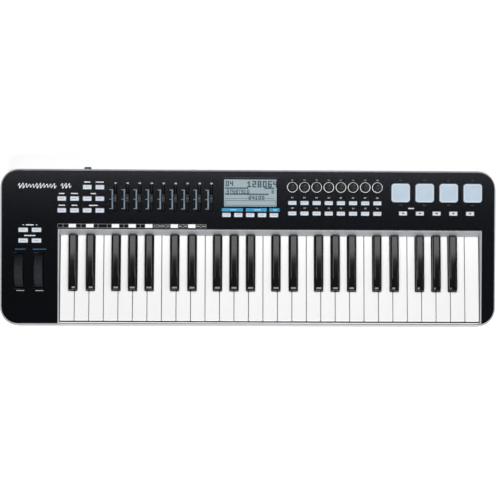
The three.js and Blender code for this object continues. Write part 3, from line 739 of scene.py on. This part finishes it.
def black_key_solid(outline, top):
    """A key that narrows upwards, with a sloping front that rolls over into the top."""
    low, high = span(outline)
    x = (low.x + high.x) / 2
    front, rise = low.y - 4.6, top - BLACK_SHOULDER
    # How far the top has risen, as a share, at each station from front to rear.
    stations = [(front, 0.0), (front + 0.3, 0.5), (front + 0.6, 0.72), (front + 0.9, 0.76)]
    stations += [(front + 2.0, 0.83)]
    stations += [(front + 3.0 + 0.6 * i, 1 - 0.11 * (1 - i / 10) ** 2) for i in range(11)]
    stations += [(high.y - 0.6, 1.0), (high.y, 0.985)]
    rings = []
    for y, share in stations:
        brow = max(0.0, rise * share - BLACK_BROW_DROP)
        right = [
            (BLACK_BASE_HALF, BLACK_UNDERSIDE),
            (BLACK_BASE_HALF, BLACK_SHOULDER - 0.5),
            (BLACK_BROW_HALF, BLACK_SHOULDER + brow),
            (BLACK_TOP_HALF, BLACK_SHOULDER + rise * share),
        ]
        section = [Vector((x - right[0][0], right[0][1]))]
        section += [Vector((x + half, height)) for half, height in right]
        section += [Vector((x - half, height)) for half, height in right[:0:-1]]
        rings.append(section_ring(section, y)[::-1])
    tail = slab(rectangle(x, high.y + 20, 12.4, 41), BLACK_UNDERSIDE, 49.6, 0.5, over=0.4)
    block = slab(rectangle(x, high.y + 44, 12.4, 17), 47.5, 54, 0.5, over=0.4)
    return merged(loft(rings), tail, block)


def section_ring(section, y):
    """A key's (x, z) section, its brows and top edges rolled over, as points at this y."""
    points = []
    for index, corner in enumerate(section):
        if 3 <= index <= 6:  # a brow or an edge of the top
            before, after = section[index - 1], section[index + 1]
            share = 0.4 if index in (4, 5) else 0.12
            roll = share * min((corner - before).length, (after - corner).length, 2.0)
            start = corner + (before - corner).normalized() * roll
            end = corner + (after - corner).normalized() * roll
            for t in (0, 0.33, 0.67, 1):
                points.append(start * (1 - t) ** 2 + corner * 2 * t * (1 - t) + end * t**2)
        else:
            points.append(corner)
    return [(point.x, y, point.y) for point in points]


def make_keys():
    """Each key is its own piece, numbered from the left where a comb has more than one."""
    kinds = (
        ("white", WHITE_NODES, cad_box("key_top_c")[1].z, white_key_solid, WHITE_KEY),
        ("black", BLACK_NODES, cad_box("key_c_sharp")[1].z, black_key_solid, BLACK_KEY),
    )
    for colour, nodes, top, key_solid, look in kinds:
        for node in nodes:
            outlines = sorted(face_outlines(node, top), key=lambda outline: middle(outline).x)
            for number, outline in enumerate(outlines):
                add_piece(f"{node}_{colour}_{number + 1}", key_solid(outline, top), look, node, node)


# ---------------- buttons and pads

BUTTON_TOP = 1.8
MAT_NODES = [f"{name}_button_mat" for name in ("page", "octave", "display", "channel", "transport")]
# From the web up, as (inset, height).
BUTTON_LEVELS = [(0, -3.2), (0, 0.4), (0.1, 1.0), (0.22, 1.35), (0.5, 1.62), (0.9, 1.74), (1.15, 1.78)]
PAD_RIM_LEVELS = [(0, -3), (0, -0.6), (0.4, 0.6), (0.5, 1.4), (0.7, 1.95), (1.1, 2.3), (1.5, 2.4)]
PAD_RIM_LEVELS += [(1.9, 2.36), (2.2, 2.2), (2.2, 1.9)]
PAD_FACE_LEVELS = [(2.1, 1.9), (2.2, 2.2), (2.7, 2.14), (3.5, 2.1)]
PAD_TOP = 2.4
PAD_CORNER = 5.0


def dashes(x, y, width, height):
    """A short run of small blocks centred on (x, y), that stands in for a printed word."""
    blocks, at, gap = [], x - width / 2, 0.35
    while at < x + width / 2 - 0.5:
        block = min(random.uniform(0.9, 1.7), x + width / 2 - at)
        blocks.append(rectangle(at + block / 2, y, block, height))
        at += block + gap
    return blocks


def button_outlines(node):
    """A mat's buttons, row by row from the rear and then from the left."""
    outlines = face_outlines(node, BUTTON_TOP, DECK)
    return sorted(outlines, key=lambda outline: (-round(middle(outline).y), middle(outline).x))


def make_buttons():
    """Each button is crowned and soft-edged, with a small mark; all of one mat share its web below."""
    random.seed(4)
    for node in MAT_NODES:
        web = slab(face_outlines(node, -3, DECK)[0], -4, -3, 1)
        add_to_deck(node + "_web", web, BUTTON, node, node)
        for number, outline in enumerate(button_outlines(node)):
            add_to_deck(f"{node}_{number + 1}", plate([outline], BUTTON_LEVELS, 1.2, 5), BUTTON, node)
            x, y = middle(outline)
            if node == "transport_button_mat":
                loops, corner, look = [rectangle(x, y, 4.4, 2.0)], 0.9, CAP_HIGHLIGHT_AND_MARK
            else:
                loops, corner, look = dashes(x, y, random.uniform(7.5, 9.5), 1.5), 0.2, BUTTON_MARK
            marks = merged(*(slab(loop, 1.7, 1.83, corner) for loop in loops))
            add_to_deck(f"{node}_mark_{number + 1}", marks, look, node)


def make_pads():
    """Soft square pads: a raised rolled rim round a face that is very slightly sunk."""
    for number in range(1, 5):
        node = f"pad_{number}"
        (outline,) = face_outlines(node, PAD_TOP, DECK)
        low, high = span(outline)
        x, y = middle(outline)
        square = rectangle(x, y, high.x - low.x, high.y - low.y)
        add_to_deck(node + "_flange", slab(rectangle(x, y, 35, 35), -4.6, -3, 2), FELT, node, node)
        # The rim's paler silicone is a painted highlight.
        add_to_deck(node + "_rim", plate([square], PAD_RIM_LEVELS, PAD_CORNER, 8), RIM_HIGHLIGHT, node)
        add_to_deck(node + "_face", plate([square], PAD_FACE_LEVELS, PAD_CORNER, 8), PAD, node)


# ---------------- knobs, faders, wheels

SLOT_LENGTH = 41


def deck_spot(node):
    """The middle of a CAD node in the deck's frame, dropped to its surface."""
    low, high = cad_box(node)
    spot = DECK.inverted() @ ((low + high) / 2)
    return Matrix.Translation((spot.x, spot.y, 0))


def knob_ribs(angle, index):
    """Ribs between the knob's skirt and its top, by the index of the profile's point."""
    return 0.16 * math.cos(26 * angle) if 6 <= index <= 9 else 0.0


def make_knobs():
    """A ribbed knob on a skirt, with a dished cap and an index line."""
    profile = [(3, -6.4), (3, 0.8), (6.7, 0.8), (7, 1.1), (7, 2.7), (6.6, 3.3), (5.95, 3.9), (5.8, 4.6)]
    profile += [(5.3, 13.2), (5.15, 13.8), (4.7, 14.3), (3.9, 14.4)]
    face = [(4.1, 14.2), (4.05, 14.45), (3.8, 14.55), (3.2, 14.4), (2.4, 14.28), (0.05, 14.24)]
    for number in range(1, 9):
        node = f"encoder_{number}"
        place = DECK @ deck_spot(node)
        add_piece(node + "_knob", lathe(profile, 104, knob_ribs), DARK_CAP, node, node, place)
        # the dished cap's paler plastic is a painted highlight on the knob's top
        add_piece(node + "_cap", lathe(face, 64), CAP_HIGHLIGHT_AND_MARK, node, place=place)
        grip = slab(rectangle(0, 2.6, 0.8, 1.9), 14.2, 14.5, 0.35, over=0.1)
        add_piece(node + "_index", grip, GREY_INK, node, place=place)


def fader_side():
    """Side view of a fader cap, as (y, z): a finger saddle with fine ridges across it."""
    top, saddle_half, ridges = 10.4, 4.4, 30
    points = [(-7.1, 0.8), (7.1, 0.8), (6.5, 3.0), (5.9, top - 0.8), (5.4, top - 0.1), (4.8, top)]
    for i in range(ridges + 1):
        y = saddle_half - 2 * saddle_half * i / ridges
        dip = 2.3 * (1 - (y / saddle_half) ** 2)
        is_ridge = i % 2 == 0 and abs(y) > 0.7
        points.append((y, top - 0.05 - dip + (0.22 if is_ridge else 0.0)))
    points += [(-4.8, top), (-5.4, top - 0.1), (-5.9, top - 0.8), (-6.5, 3.0)]
    return points


def fader_loft(stations):
    """Part of a fader cap, from (half width, share of the full height) stations out to its middle."""
    stations = [(-x, share) for x, share in stations] + stations[::-1]
    return loft([[(x, y, 0.8 + (z - 0.8) * share) for y, z in fader_side()] for x, share in stations])


def make_faders():
    """Each cap with its stem, saddle and line, the felt lips of the slot it slides in, and a matt black band
    round the slot as painted shade.
    """
    stem = slab(rectangle(0, 0, 2.2, 5), -6.4, 1.5, 0.4)
    cap_sides = fader_loft([(3.7, 0.2), (3.65, 0.34), (3.5, 0.46), (2.8, 0.84), (2.5, 0.93), (2.2, 0.97)])
    body = merged(cap_sides, stem)
    saddle = fader_loft([(2.25, 0.93), (2.15, 0.985), (2.0, 1.0)])
    line = slab(rectangle(0, 0, 3.8, 0.8), 7.9, 8.35, 0.3, over=0.1)
    for number in range(1, 10):
        node = f"fader_{number}"
        spot = deck_spot(node)
        place = DECK @ spot
        add_piece(node + "_cap", body, DARK_CAP, node, node, place)
        # the saddle's paler plastic is a painted highlight
        add_piece(node + "_saddle", saddle, CAP_HIGHLIGHT_AND_MARK, node, place=place)
        add_piece(node + "_line", line, GREY_INK, node, place=place)
        x, y, _ = spot.translation
        lips = [slab(rectangle(x + shift, y, 1.5, SLOT_LENGTH), -2.3, -1.9, 0.3) for shift in (-1.05, 1.05)]
        add_to_deck(node + "_slot_lips", merged(*lips), FELT)
        # a matt black band round the slot, as painted shade
        border = slab(rectangle(x, y, 5.8, 43.5), *INK, 1.2, inner=rectangle(x, y, 2.9, SLOT_LENGTH))
        add_to_deck(node + "_slot_painted_shade", border, SLOT_SHADE)


WHEEL_RADIUS = 30.0
WHEEL_HALF = 6.95  # half its width


def wheel_solid():
    """A thumb wheel about Z, with rolled shoulders, fine ribs round its rim and a shallow thumb rest."""
    shoulder = [(5.0, 0.0), (1.6, 0.0), (0.9, 0.05), (0.45, 0.2), (0.15, 0.5), (0.0, 1.0), (0.0, 1.6)]
    profile = [(WHEEL_RADIUS - drop, -WHEEL_HALF + z) for drop, z in shoulder]
    profile += [(radius, -z) for radius, z in reversed(profile)]
    ribs, rest, depth = 84, math.radians(15), 0.7

    def ripple(angle, index):
        if index < 2 or index > len(profile) - 3:
            return 0.0
        off_top = abs((angle + math.pi) % math.tau - math.pi)
        if off_top < rest:
            return -depth * (0.5 + 0.5 * math.cos(math.pi * off_top / rest))
        return -0.32 if math.cos(ribs * angle) > 0.25 else 0.0

    axle = lathe([(2.9, -10.3), (3, -10.2), (3, 10.2), (2.9, 10.3)], 24)
    return merged(lathe(profile, 336, ripple), axle)


def make_wheels():
    for node in ("pitch_wheel", "modulation_wheel"):
        low, high = cad_box(node)
        axle_along_x = Matrix.Rotation(-math.pi / 2, 4, "Y")
        turn = Matrix.Rotation(DECK_SLOPE, 4, "X") @ axle_along_x
        place = Matrix.Translation((low + high) / 2) @ turn
        add_piece(node + "_tyre", wheel_solid(), WHEEL, node, node, place)


# ---------------- display

WINDOW_SPOT = deck_spot("display_window").translation
WINDOW_SIZE = Vector((89.2, 48.0))
VIEW_SIZE = Vector((85.2, 44.2))
LCD_TOP = -2.9
# Each digit as rows of three dots, from the top down.
DIGIT_ROWS = {
    "0": "111 101 101 101 111",
    "1": "010 110 010 010 111",
    "2": "111 001 111 100 111",
    "3": "111 001 111 001 111",
    "4": "101 101 111 001 001",
    "5": "111 100 111 001 111",
    "6": "111 100 111 101 111",
    "7": "111 001 010 010 010",
    "8": "111 101 111 101 111",
    "9": "111 101 111 001 111",
}


def digit_dots(text, x, y, dot):
    """Square dots that write digits from (x, y), their top left corner."""
    dots = []
    for place, digit in enumerate(text):
        for row, bits in enumerate(DIGIT_ROWS[digit].split()):
            for column, bit in enumerate(bits):
                if bit == "1":
                    centre_x = x + (place * 4 + column + 0.5) * dot
                    dots.append(rectangle(centre_x, y - (row + 0.5) * dot, dot * 0.92, dot * 0.92))
    return dots


def make_display():
    """The clear lens, the dark frame, the pale face under it and what the face shows."""
    place = DECK @ Matrix.Translation((WINDOW_SPOT.x, WINDOW_SPOT.y, 0))
    lens = slab(rectangle(0, 0, *WINDOW_SIZE), -1.5, 0, 0.9, over=0.2)
    add_piece("display_lens", lens, WINDOW, stands_for="display_window", place=place)
    module = slab(rectangle(0, 0, WINDOW_SIZE.x + 2, WINDOW_SIZE.y), -9.2, LCD_TOP - 0.15, 1)
    add_piece("display_frame", module, LCD_MASK, stands_for="display_module", place=place)
    face = slab(rectangle(0, 0, VIEW_SIZE.x + 2, VIEW_SIZE.y + 2), LCD_TOP - 0.2, LCD_TOP, 0.3)
    add_piece("display_face", face, LCD_FACE, place=place)
    add_piece("display_pixels", merged(*display_dots()), LCD_DARK, place=place)


def display_dots():
    """What the display shows: large numbers over rows of marks and values, and a framed line at the front."""
    half = VIEW_SIZE / 2
    outlines = digit_dots("04", -half.x + 2.6, half.y - 2.6, 1.7)
    outlines += digit_dots("128064", -5.2, half.y - 2.4, 2.1)
    for y, first, last in ((half.y - 14.2, 0, 16), (half.y - 14.2, 27, 34), (half.y - 24.0, 0, 30)):
        outlines += [rectangle(-half.x + 2.8 + 2.35 * i, y, 1.9, 2.3) for i in range(first, last)]
    for column, number in enumerate(("37", "58", "79", "10")):
        outlines += digit_dots(number, -half.x + 4 + 9.4 * column, half.y - 16.6, 1.25)
    outlines += digit_dots("6", half.x - 8, half.y - 16.6, 1.25)
    outlines += digit_dots("24109", -3.0, half.y - 26.2, 1.35)
    outlines += [rectangle(-half.x + 3 + 3.1 * i, half.y - 31.0, 2.1, 0.8) for i in range(26)]
    width, top, bottom = VIEW_SIZE.x - 4, half.y - 34.4, -half.y + 2.2
    outlines += [rectangle(0, y, width, 0.6) for y in (top, bottom)]
    outlines += [rectangle(x, (top + bottom) / 2, 0.6, top - bottom) for x in (-width / 2, width / 2)]
    return [slab(outline, LCD_TOP - 0.05, LCD_TOP + 0.07) for outline in outlines]


# ---------------- printing on the panel


def printed(outlines, radius=0.25):
    return merged(*(slab(outline, *INK, radius) for outline in outlines))


def lettering(text, x, y, size):
    """Digits in the plain built-in face, as flat solids centred on (x, y)."""
    curve = bpy.data.curves.new("digits", "FONT")
    curve.body = text
    curve.size = size
    curve.align_x = "CENTER"
    curve.align_y = "CENTER"
    curve.offset = size * 0.02
    curve.extrude = (INK[1] - INK[0]) / 2
    item = bpy.data.objects.new("digits", curve)
    bpy.context.scene.collection.objects.link(item)
    bpy.context.view_layer.update()
    mesh = bpy.data.meshes.new_from_object(item.evaluated_get(bpy.context.evaluated_depsgraph_get()))
    lift = Matrix.Translation((x, y, (INK[0] + INK[1]) / 2)) @ Matrix.Diagonal((1.25, 1, 1, 1))
    solid = ([lift @ v.co for v in mesh.vertices], [tuple(p.vertices) for p in mesh.polygons])
    bpy.data.objects.remove(item)
    bpy.data.meshes.remove(mesh)
    return solid


def numbering(places, shift_x, shift_y, size):
    """Two-digit numbers from 01, one for each place and this far from it."""
    texts = enumerate(places)
    return merged(*(lettering(f"{i + 1:02d}", p.x + shift_x, p.y + shift_y, size) for i, p in texts))


def spots(prefix, count):
    return [deck_spot(f"{prefix}_{i + 1}").translation for i in range(count)]


def wheel_spots():
    return [deck_spot(node).translation for node in ("pitch_wheel", "modulation_wheel")]


def make_encoder_print():
    """A ring round each knob and a number over it."""
    places = spots("encoder", 8)
    rings = [slab(circle(*p.xy, 8.5, 64), *INK, inner=circle(*p.xy, 7.5, 64)) for p in places]
    add_to_deck("encoder_rings", merged(*rings), WHITE_INK)
    add_to_deck("encoder_numbers", numbering(places, 0, 11.4, 3.1), DIM_INK)


def make_fader_print():
    """A number over each slot, and a scale down its left side with a tick at the ends and the middle."""
    bars, length = [], 31.8
    places = spots("fader", 9)
    for p in places:
        x, y = p.x - 5.1, p.y - 1.8
        bars.append(rectangle(x, y, 2.3, length))
        for shift in (-length / 2 + 0.6, 0, length / 2 - 0.6):
            bars.append(rectangle(x - 2.6, y + shift, 4.2, 1.1))
    add_to_deck("fader_scales", printed(bars, 0.1), SCALE_INK)
    add_to_deck("fader_numbers", numbering(places, 0.4, 24.0, 3.0), WHITE_INK)


# Words over the page buttons, as (row, column, width); a half column lies between two buttons.
PAGE_WORDS = (
    [(0, 2, 9.6), (0, 3, 12.8)]
    + [(1, 0, 9.0), (1, 1, 11.3), (1, 2.5, 8.8)]
    + [(2, 0, 10.0), (2, 1, 9.0), (2, 2.5, 14.2)]
)


def make_button_labels():
    """Numbers over the channel buttons, and plain blocks where the other buttons have words."""
    random.seed(11)
    words = []
    pages = [middle(outline) for outline in button_outlines("page_button_mat")]
    columns = sorted({round(p.x, 1) for p in pages})
    rows = sorted({round(p.y, 1) for p in pages}, reverse=True)
    column_pitch = columns[1] - columns[0]
    for row, column, width in PAGE_WORDS:
        words += dashes(columns[0] + column * column_pitch, rows[row] + 8.1, width, 1.8)
    octaves = [middle(outline) for outline in button_outlines("octave_button_mat")]
    for left, right, width in ((octaves[0], octaves[1], 12.4), (octaves[2], octaves[3], 18.0)):
        words += dashes((left.x + right.x) / 2, left.y + 8.0, width, 1.8)
    words += [rectangle(octaves[i].x, octaves[i].y + 8.0, 2.2, 0.9) for i in (0, 1)]
    transport = middle(button_outlines("transport_button_mat")[0])
    words += dashes(transport.x + 13.2, transport.y + 8.1, 8.8, 1.8)
    names = []
    for p, shift in zip(wheel_spots(), (1.9, 1.5)):
        names += dashes(p.x + shift, p.y - 31.9, 13.0, 1.3)
    channels = [middle(outline) for outline in button_outlines("channel_button_mat")]
    add_to_deck("wheel_names", printed(names, 0.3), DIM_INK)
    add_to_deck("button_labels", printed(words, 0.3), WHITE_INK)
    add_to_deck("channel_numbers", numbering(channels, 0, 8.4, 3.3), DIM_INK)


def make_blue_print():
    """Section bars under the display, and the faint labels round the pads and over the wheels."""
    random.seed(7)
    y = WINDOW_SPOT.y - 27.3
    bars, marks = [], []
    for start, width in ((-46.2, 34.2), (-7.3, 33.8), (30.9, 16.2)):
        x = WINDOW_SPOT.x + start + width / 2
        bars.append(rectangle(x, y, width, 5.4))
        marks += dashes(x + 0.06 * width, y, width * 0.32, 1.8)
    add_to_deck("section_bars", printed(bars, 0.4), BLUE_INK)
    add_to_deck("section_marks", raised(printed(marks, 0.3), 0.03), PALE_BLUE_INK)
    faint = []
    for p in spots("pad", 4):
        faint += dashes(p.x, p.y + 20.1, 4.5, 1.2)
        faint += dashes(p.x, p.y - 20.0, 5.5, 1.2)
    add_to_deck("pad_labels", printed(faint, 0.3), DIM_BLUE_INK)
    wheels = wheel_spots()
    names = dashes(wheels[0].x + 2.0, wheels[0].y + 34.8, 17.0, 1.8)
    names += dashes(wheels[1].x + 1.3, wheels[1].y + 34.8, 21.5, 1.8)
    add_to_deck("wheel_labels", printed(names, 0.3), WHEEL_INK)


def make_legend_strip():
    """A strip over the low keys: a white cell over each of seven black keys, and dark cells between them."""
    random.seed(3)
    left, right, low_y, high_y = SURROUND_LOW.x - 0.6, -68.7, 31.2, 37.6
    y, height, cell_width = (low_y + high_y) / 2, high_y - low_y, 11.6
    blacks = []
    for node in ("black_comb_1", "black_comb_2"):
        blacks += [middle(outline).x for outline in face_outlines(node, cad_box(node)[1].z)]
    centres = sorted(blacks)[:7]
    white_cells = [rectangle(x - 0.6, y, cell_width, height - 0.6) for x in centres]
    edges = [left] + [x - 0.6 + side * cell_width / 2 for x in centres for side in (-1, 1)] + [right]
    dark_cells, words = [], []
    for start, end in zip(edges[::2], edges[1::2]):
        shares = (1, 1) if end - start < 20 else (1, 2, 1)
        at, margin = start, 0.5
        for share in shares:
            width = (end - start) * share / sum(shares)
            dark_cells.append(rectangle(at + width / 2, y, width - 2 * margin, height - 1.5))
            if start > centres[4]:
                words += dashes(at + width / 2, y, width - 2 * margin - 2.4, 1.4)
            at += width
    strip = slab(rectangle((left + right) / 2, y, right - left, height), *INK, 0.6)
    add_to_deck("legend_strip", strip, GREY_INK)
    add_to_deck("legend_dark_cells", raised(printed(dark_cells, 1.2), 0.02), PANEL)
    add_to_deck("legend_white_cells", raised(printed(white_cells, 0.3), 0.02), WHITE_INK)
    add_to_deck("legend_words", raised(printed(words, 0.2), 0.04), DIM_INK)


def ribbon(points, width):
    """The outline of a stroke of this width along a line of points."""
    left, right = [], []
    for before, here, after in zip(points[:1] + points[:-1], points, points[1:] + points[-1:]):
        along = (after - before).normalized()
        across = Vector((-along.y, along.x)) * width / 2
        left.append(here + across)
        right.append(here - across)
    return right + left[::-1]


def make_emblem():
    """Two plain leaning waves, in place of a name."""
    baseline, rise, lean, pitch, steps = 98.6, 3.4, 0.35, 5.6, 14
    waves = []
    for start, count in ((-373, 11), (-304, 3)):
        points = []
        for i in range(count * steps + 1):
            height = rise * math.sin(math.tau * i / steps) * (1 + 0.25 * math.sin(i * 0.09))
            points.append(Vector((start + pitch * i / steps + lean * height, baseline + height)))
        waves.append(ribbon(points, 0.95))
    add_to_deck("panel_emblem", printed(waves), WHITE_INK)


# ---------------- rear sockets and power button


def facing_rear(x):
    return Matrix.Translation((x, 0, SOCKET_Z)) @ Matrix.Rotation(-math.pi / 2, 4, "X")


def add_to_rear(name, solid, look, x=0.0):
    """Adds a piece in a frame with its z out of the rear wall and its origin at socket height."""
    add_piece(name, solid, look, place=facing_rear(x))


def make_power_button():
    """The button's cap, and the dark bezel round its opening."""
    outline = rectangle(0, 0, POWER_HIGH.x - POWER_LOW.x, POWER_HIGH.z - POWER_LOW.z)
    button = plate([outline], rounded(POWER_LOW.y + 9, POWER_HIGH.y, over=1.2, steps=5), 1.6)
    place = facing_rear(POWER_X)
    add_piece("power_button_cap", button, SWITCH, "power_button", "power_button", place)
    opening = rectangle(0, 0, 12.6, 8.1)
    bezel = slab(rectangle(0, 0, 17, 12.5), REAR - 0.6, REAR + 0.5, 1.8, over=0.4, inner=opening)
    add_to_rear("power_button_bezel", bezel, SWITCH, POWER_X)


def make_sockets():
    """Data, power, five-pin and pedal sockets, which stand on the connector board's face."""
    base = SOCKET_FACE + 0.05

    def tube(outer, inner, depth, radius=0.0, over=0.4):
        return slab(outer, base, SOCKET_FACE + depth, radius, over, inner)

    usb = tube(rectangle(0, 0, 11, 10), rectangle(0, 0, 8.8, 8), 4.6, 0.8, over=0.3)
    tongue = slab(rectangle(0, 0.6, 5.6, 3.0), SOCKET_FACE - 9, SOCKET_FACE + 1.5, 0.5, over=0.3)
    add_to_rear("usb_shell", usb, METAL, USB_X)
    add_to_rear("usb_tongue", tongue, CASE, USB_X)
    pin = [(1.0, SOCKET_FACE - 8), (1.0, SOCKET_FACE + 1), (0.7, SOCKET_FACE + 1.6), (0.2, SOCKET_FACE + 1.8)]
    add_to_rear("dc_barrel", tube(circle(0, 0, 4.3), circle(0, 0, 3.1), 4.6), FELT, DC_X)
    add_to_rear("dc_pin", lathe(pin, 20), METAL, DC_X)
    face_loops = [circle(0, 0, 6.3)]
    for angle in (math.radians(degrees) for degrees in (0, 45, 90, 135, 180)):
        face_loops.append(hole(circle(4.9 * math.cos(angle), 4.9 * math.sin(angle) - 0.6, 0.95, 16)))
    face = plate(face_loops, rounded(base, SOCKET_FACE + 3.6, over=0.3))
    shield = tube(circle(0, 0, 7.6, 48), circle(0, 0, 6.9, 48), 4.9, over=0.2)
    for number, x in enumerate(DIN_XS):
        add_to_rear(f"din_face_{number + 1}", face, FELT, x)
        add_to_rear(f"din_shield_{number + 1}", shield, METAL, x)
    bush = tube(circle(0, 0, 5.1), circle(0, 0, 3.3), 5.6)
    nut = slab(circle(0, 0, 7.2, 6), REAR - 0.05, REAR + 1.8, 0.5, over=0.4, inner=circle(0, 0, 5.15, 32))
    for number, x in enumerate(JACK_XS):
        add_to_rear(f"jack_bush_{number + 1}", bush, METAL, x)
        add_to_rear(f"jack_nut_{number + 1}", nut, METAL, x)
    marks = [rectangle(x, 12.5, 11, 1.5) for x in (POWER_X, DC_X, USB_X, *DIN_XS, *JACK_XS)]
    labels = merged(*(slab(mark, REAR + INK[0], REAR + INK[1], 0.4) for mark in marks))
    add_to_rear("rear_labels", labels, GREY_INK)


# ---------------- studio


def make_floor():
    """A pale floor that glows a little, so that it comes out as white as the photograph's ground."""
    material, nodes, _ = new_material("studio_floor")
    white = (1, 1, 1, 1)
    set_shader(
        nodes,
        Roughness=0.7,
        Base_Color=(0.93, 0.93, 0.93, 1),
        Emission_Color=white,
        Emission_Strength=0.42,
    )
    mesh = bpy.data.meshes.new("floor")
    corners = [(corner.x, corner.y, 0) for corner in rectangle(0, 0, 24.0, 24.0)]
    mesh.from_pydata(corners, [], [(0, 1, 2, 3)])
    mesh.materials.append(material)
    floor = bpy.data.objects.new("floor", mesh)
    bpy.context.scene.collection.objects.link(floor)


def softbox(name, location, target, size, power):
    """A rectangular lamp; its places and size are in metres, its power in watts."""
    lamp = bpy.data.lights.new(name, "AREA")
    lamp.shape = "RECTANGLE"
    lamp.size, lamp.size_y = size
    lamp.energy = power
    item = bpy.data.objects.new(name, lamp)
    item.location = location
    item.rotation_mode = "QUATERNION"
    item.rotation_quaternion = (Vector(target) - item.location).to_track_quat("-Z", "Y")
    bpy.context.scene.collection.objects.link(item)


def make_sky():
    """A white horizon under a dark ceiling, so that surfaces that face up reflect only the softboxes."""
    world = bpy.data.worlds.new("studio")
    world.use_nodes = True
    nodes, links = world.node_tree.nodes, world.node_tree.links
    background = nodes["Background"]
    direction = add_node(nodes, "ShaderNodeTexCoord")
    axes = add_node(nodes, "ShaderNodeSeparateXYZ")
    links.new(direction.outputs["Generated"], axes.inputs["Vector"])
    glow = ramp(nodes, links, axes.outputs["Z"], 0.05, 0.3, grey(0.45), grey(0.03))
    links.new(glow.outputs["Color"], background.inputs["Color"])
    bpy.context.scene.world = world


def make_studio():
    make_floor()
    make_sky()
    softbox("rear_softbox", (0, 0.815, 2.6), (0, 0.765, 0), (2.1, 1.3), 37)
    softbox("right_softbox", (1.7, -0.2, 2.0), (0, 0, 0), (0.9, 1.4), 6)
    softbox("front_softbox", (0, -1.75, 2.2), (0, -0.1, 0), (1.2, 1.5), 57)


# The camera stands almost straight over the keyboard, as it did for the photograph.
CAMERA_AT = Vector((-54.2, -179.2, 2350.0))
CAMERA_TARGET = Vector((1.8, -6.3, 60.0))
CAMERA_ROLL = 0.0024
CAMERA_VIEW = math.radians(20.0)


def make_camera():
    lens = bpy.data.cameras.new("camera")
    lens.angle = CAMERA_VIEW
    lens.clip_end = 100
    camera = bpy.data.objects.new("camera", lens)
    bpy.context.scene.collection.objects.link(camera)
    camera.location = CAMERA_AT * MM
    backwards = (CAMERA_AT - CAMERA_TARGET).normalized()
    rightwards = Vector((0, 1, 0)).cross(backwards).normalized()
    axes = Matrix((rightwards, backwards.cross(rightwards), backwards)).transposed()
    camera.rotation_mode = "QUATERNION"
    camera.rotation_quaternion = (axes @ Matrix.Rotation(CAMERA_ROLL, 3, "Z")).to_quaternion()
    bpy.context.scene.camera = camera


# ---------------- the whole instrument, and its studio

make_lower_case()
make_feet()
make_screws()
make_rating_plate()
make_top_panel()
make_surround()
dress("keybed_chassis", CHASSIS)
dress("control_board", BOARD)
dress("connector_board", BOARD)
make_keys()
make_buttons()
make_pads()
make_knobs()
make_faders()
make_wheels()
make_display()
make_encoder_print()
make_fader_print()
make_button_labels()
make_blue_print()
make_legend_strip()
make_emblem()
make_power_button()
make_sockets()
make_studio()
make_camera()
bpy.context.scene.view_settings.view_transform = "Standard"
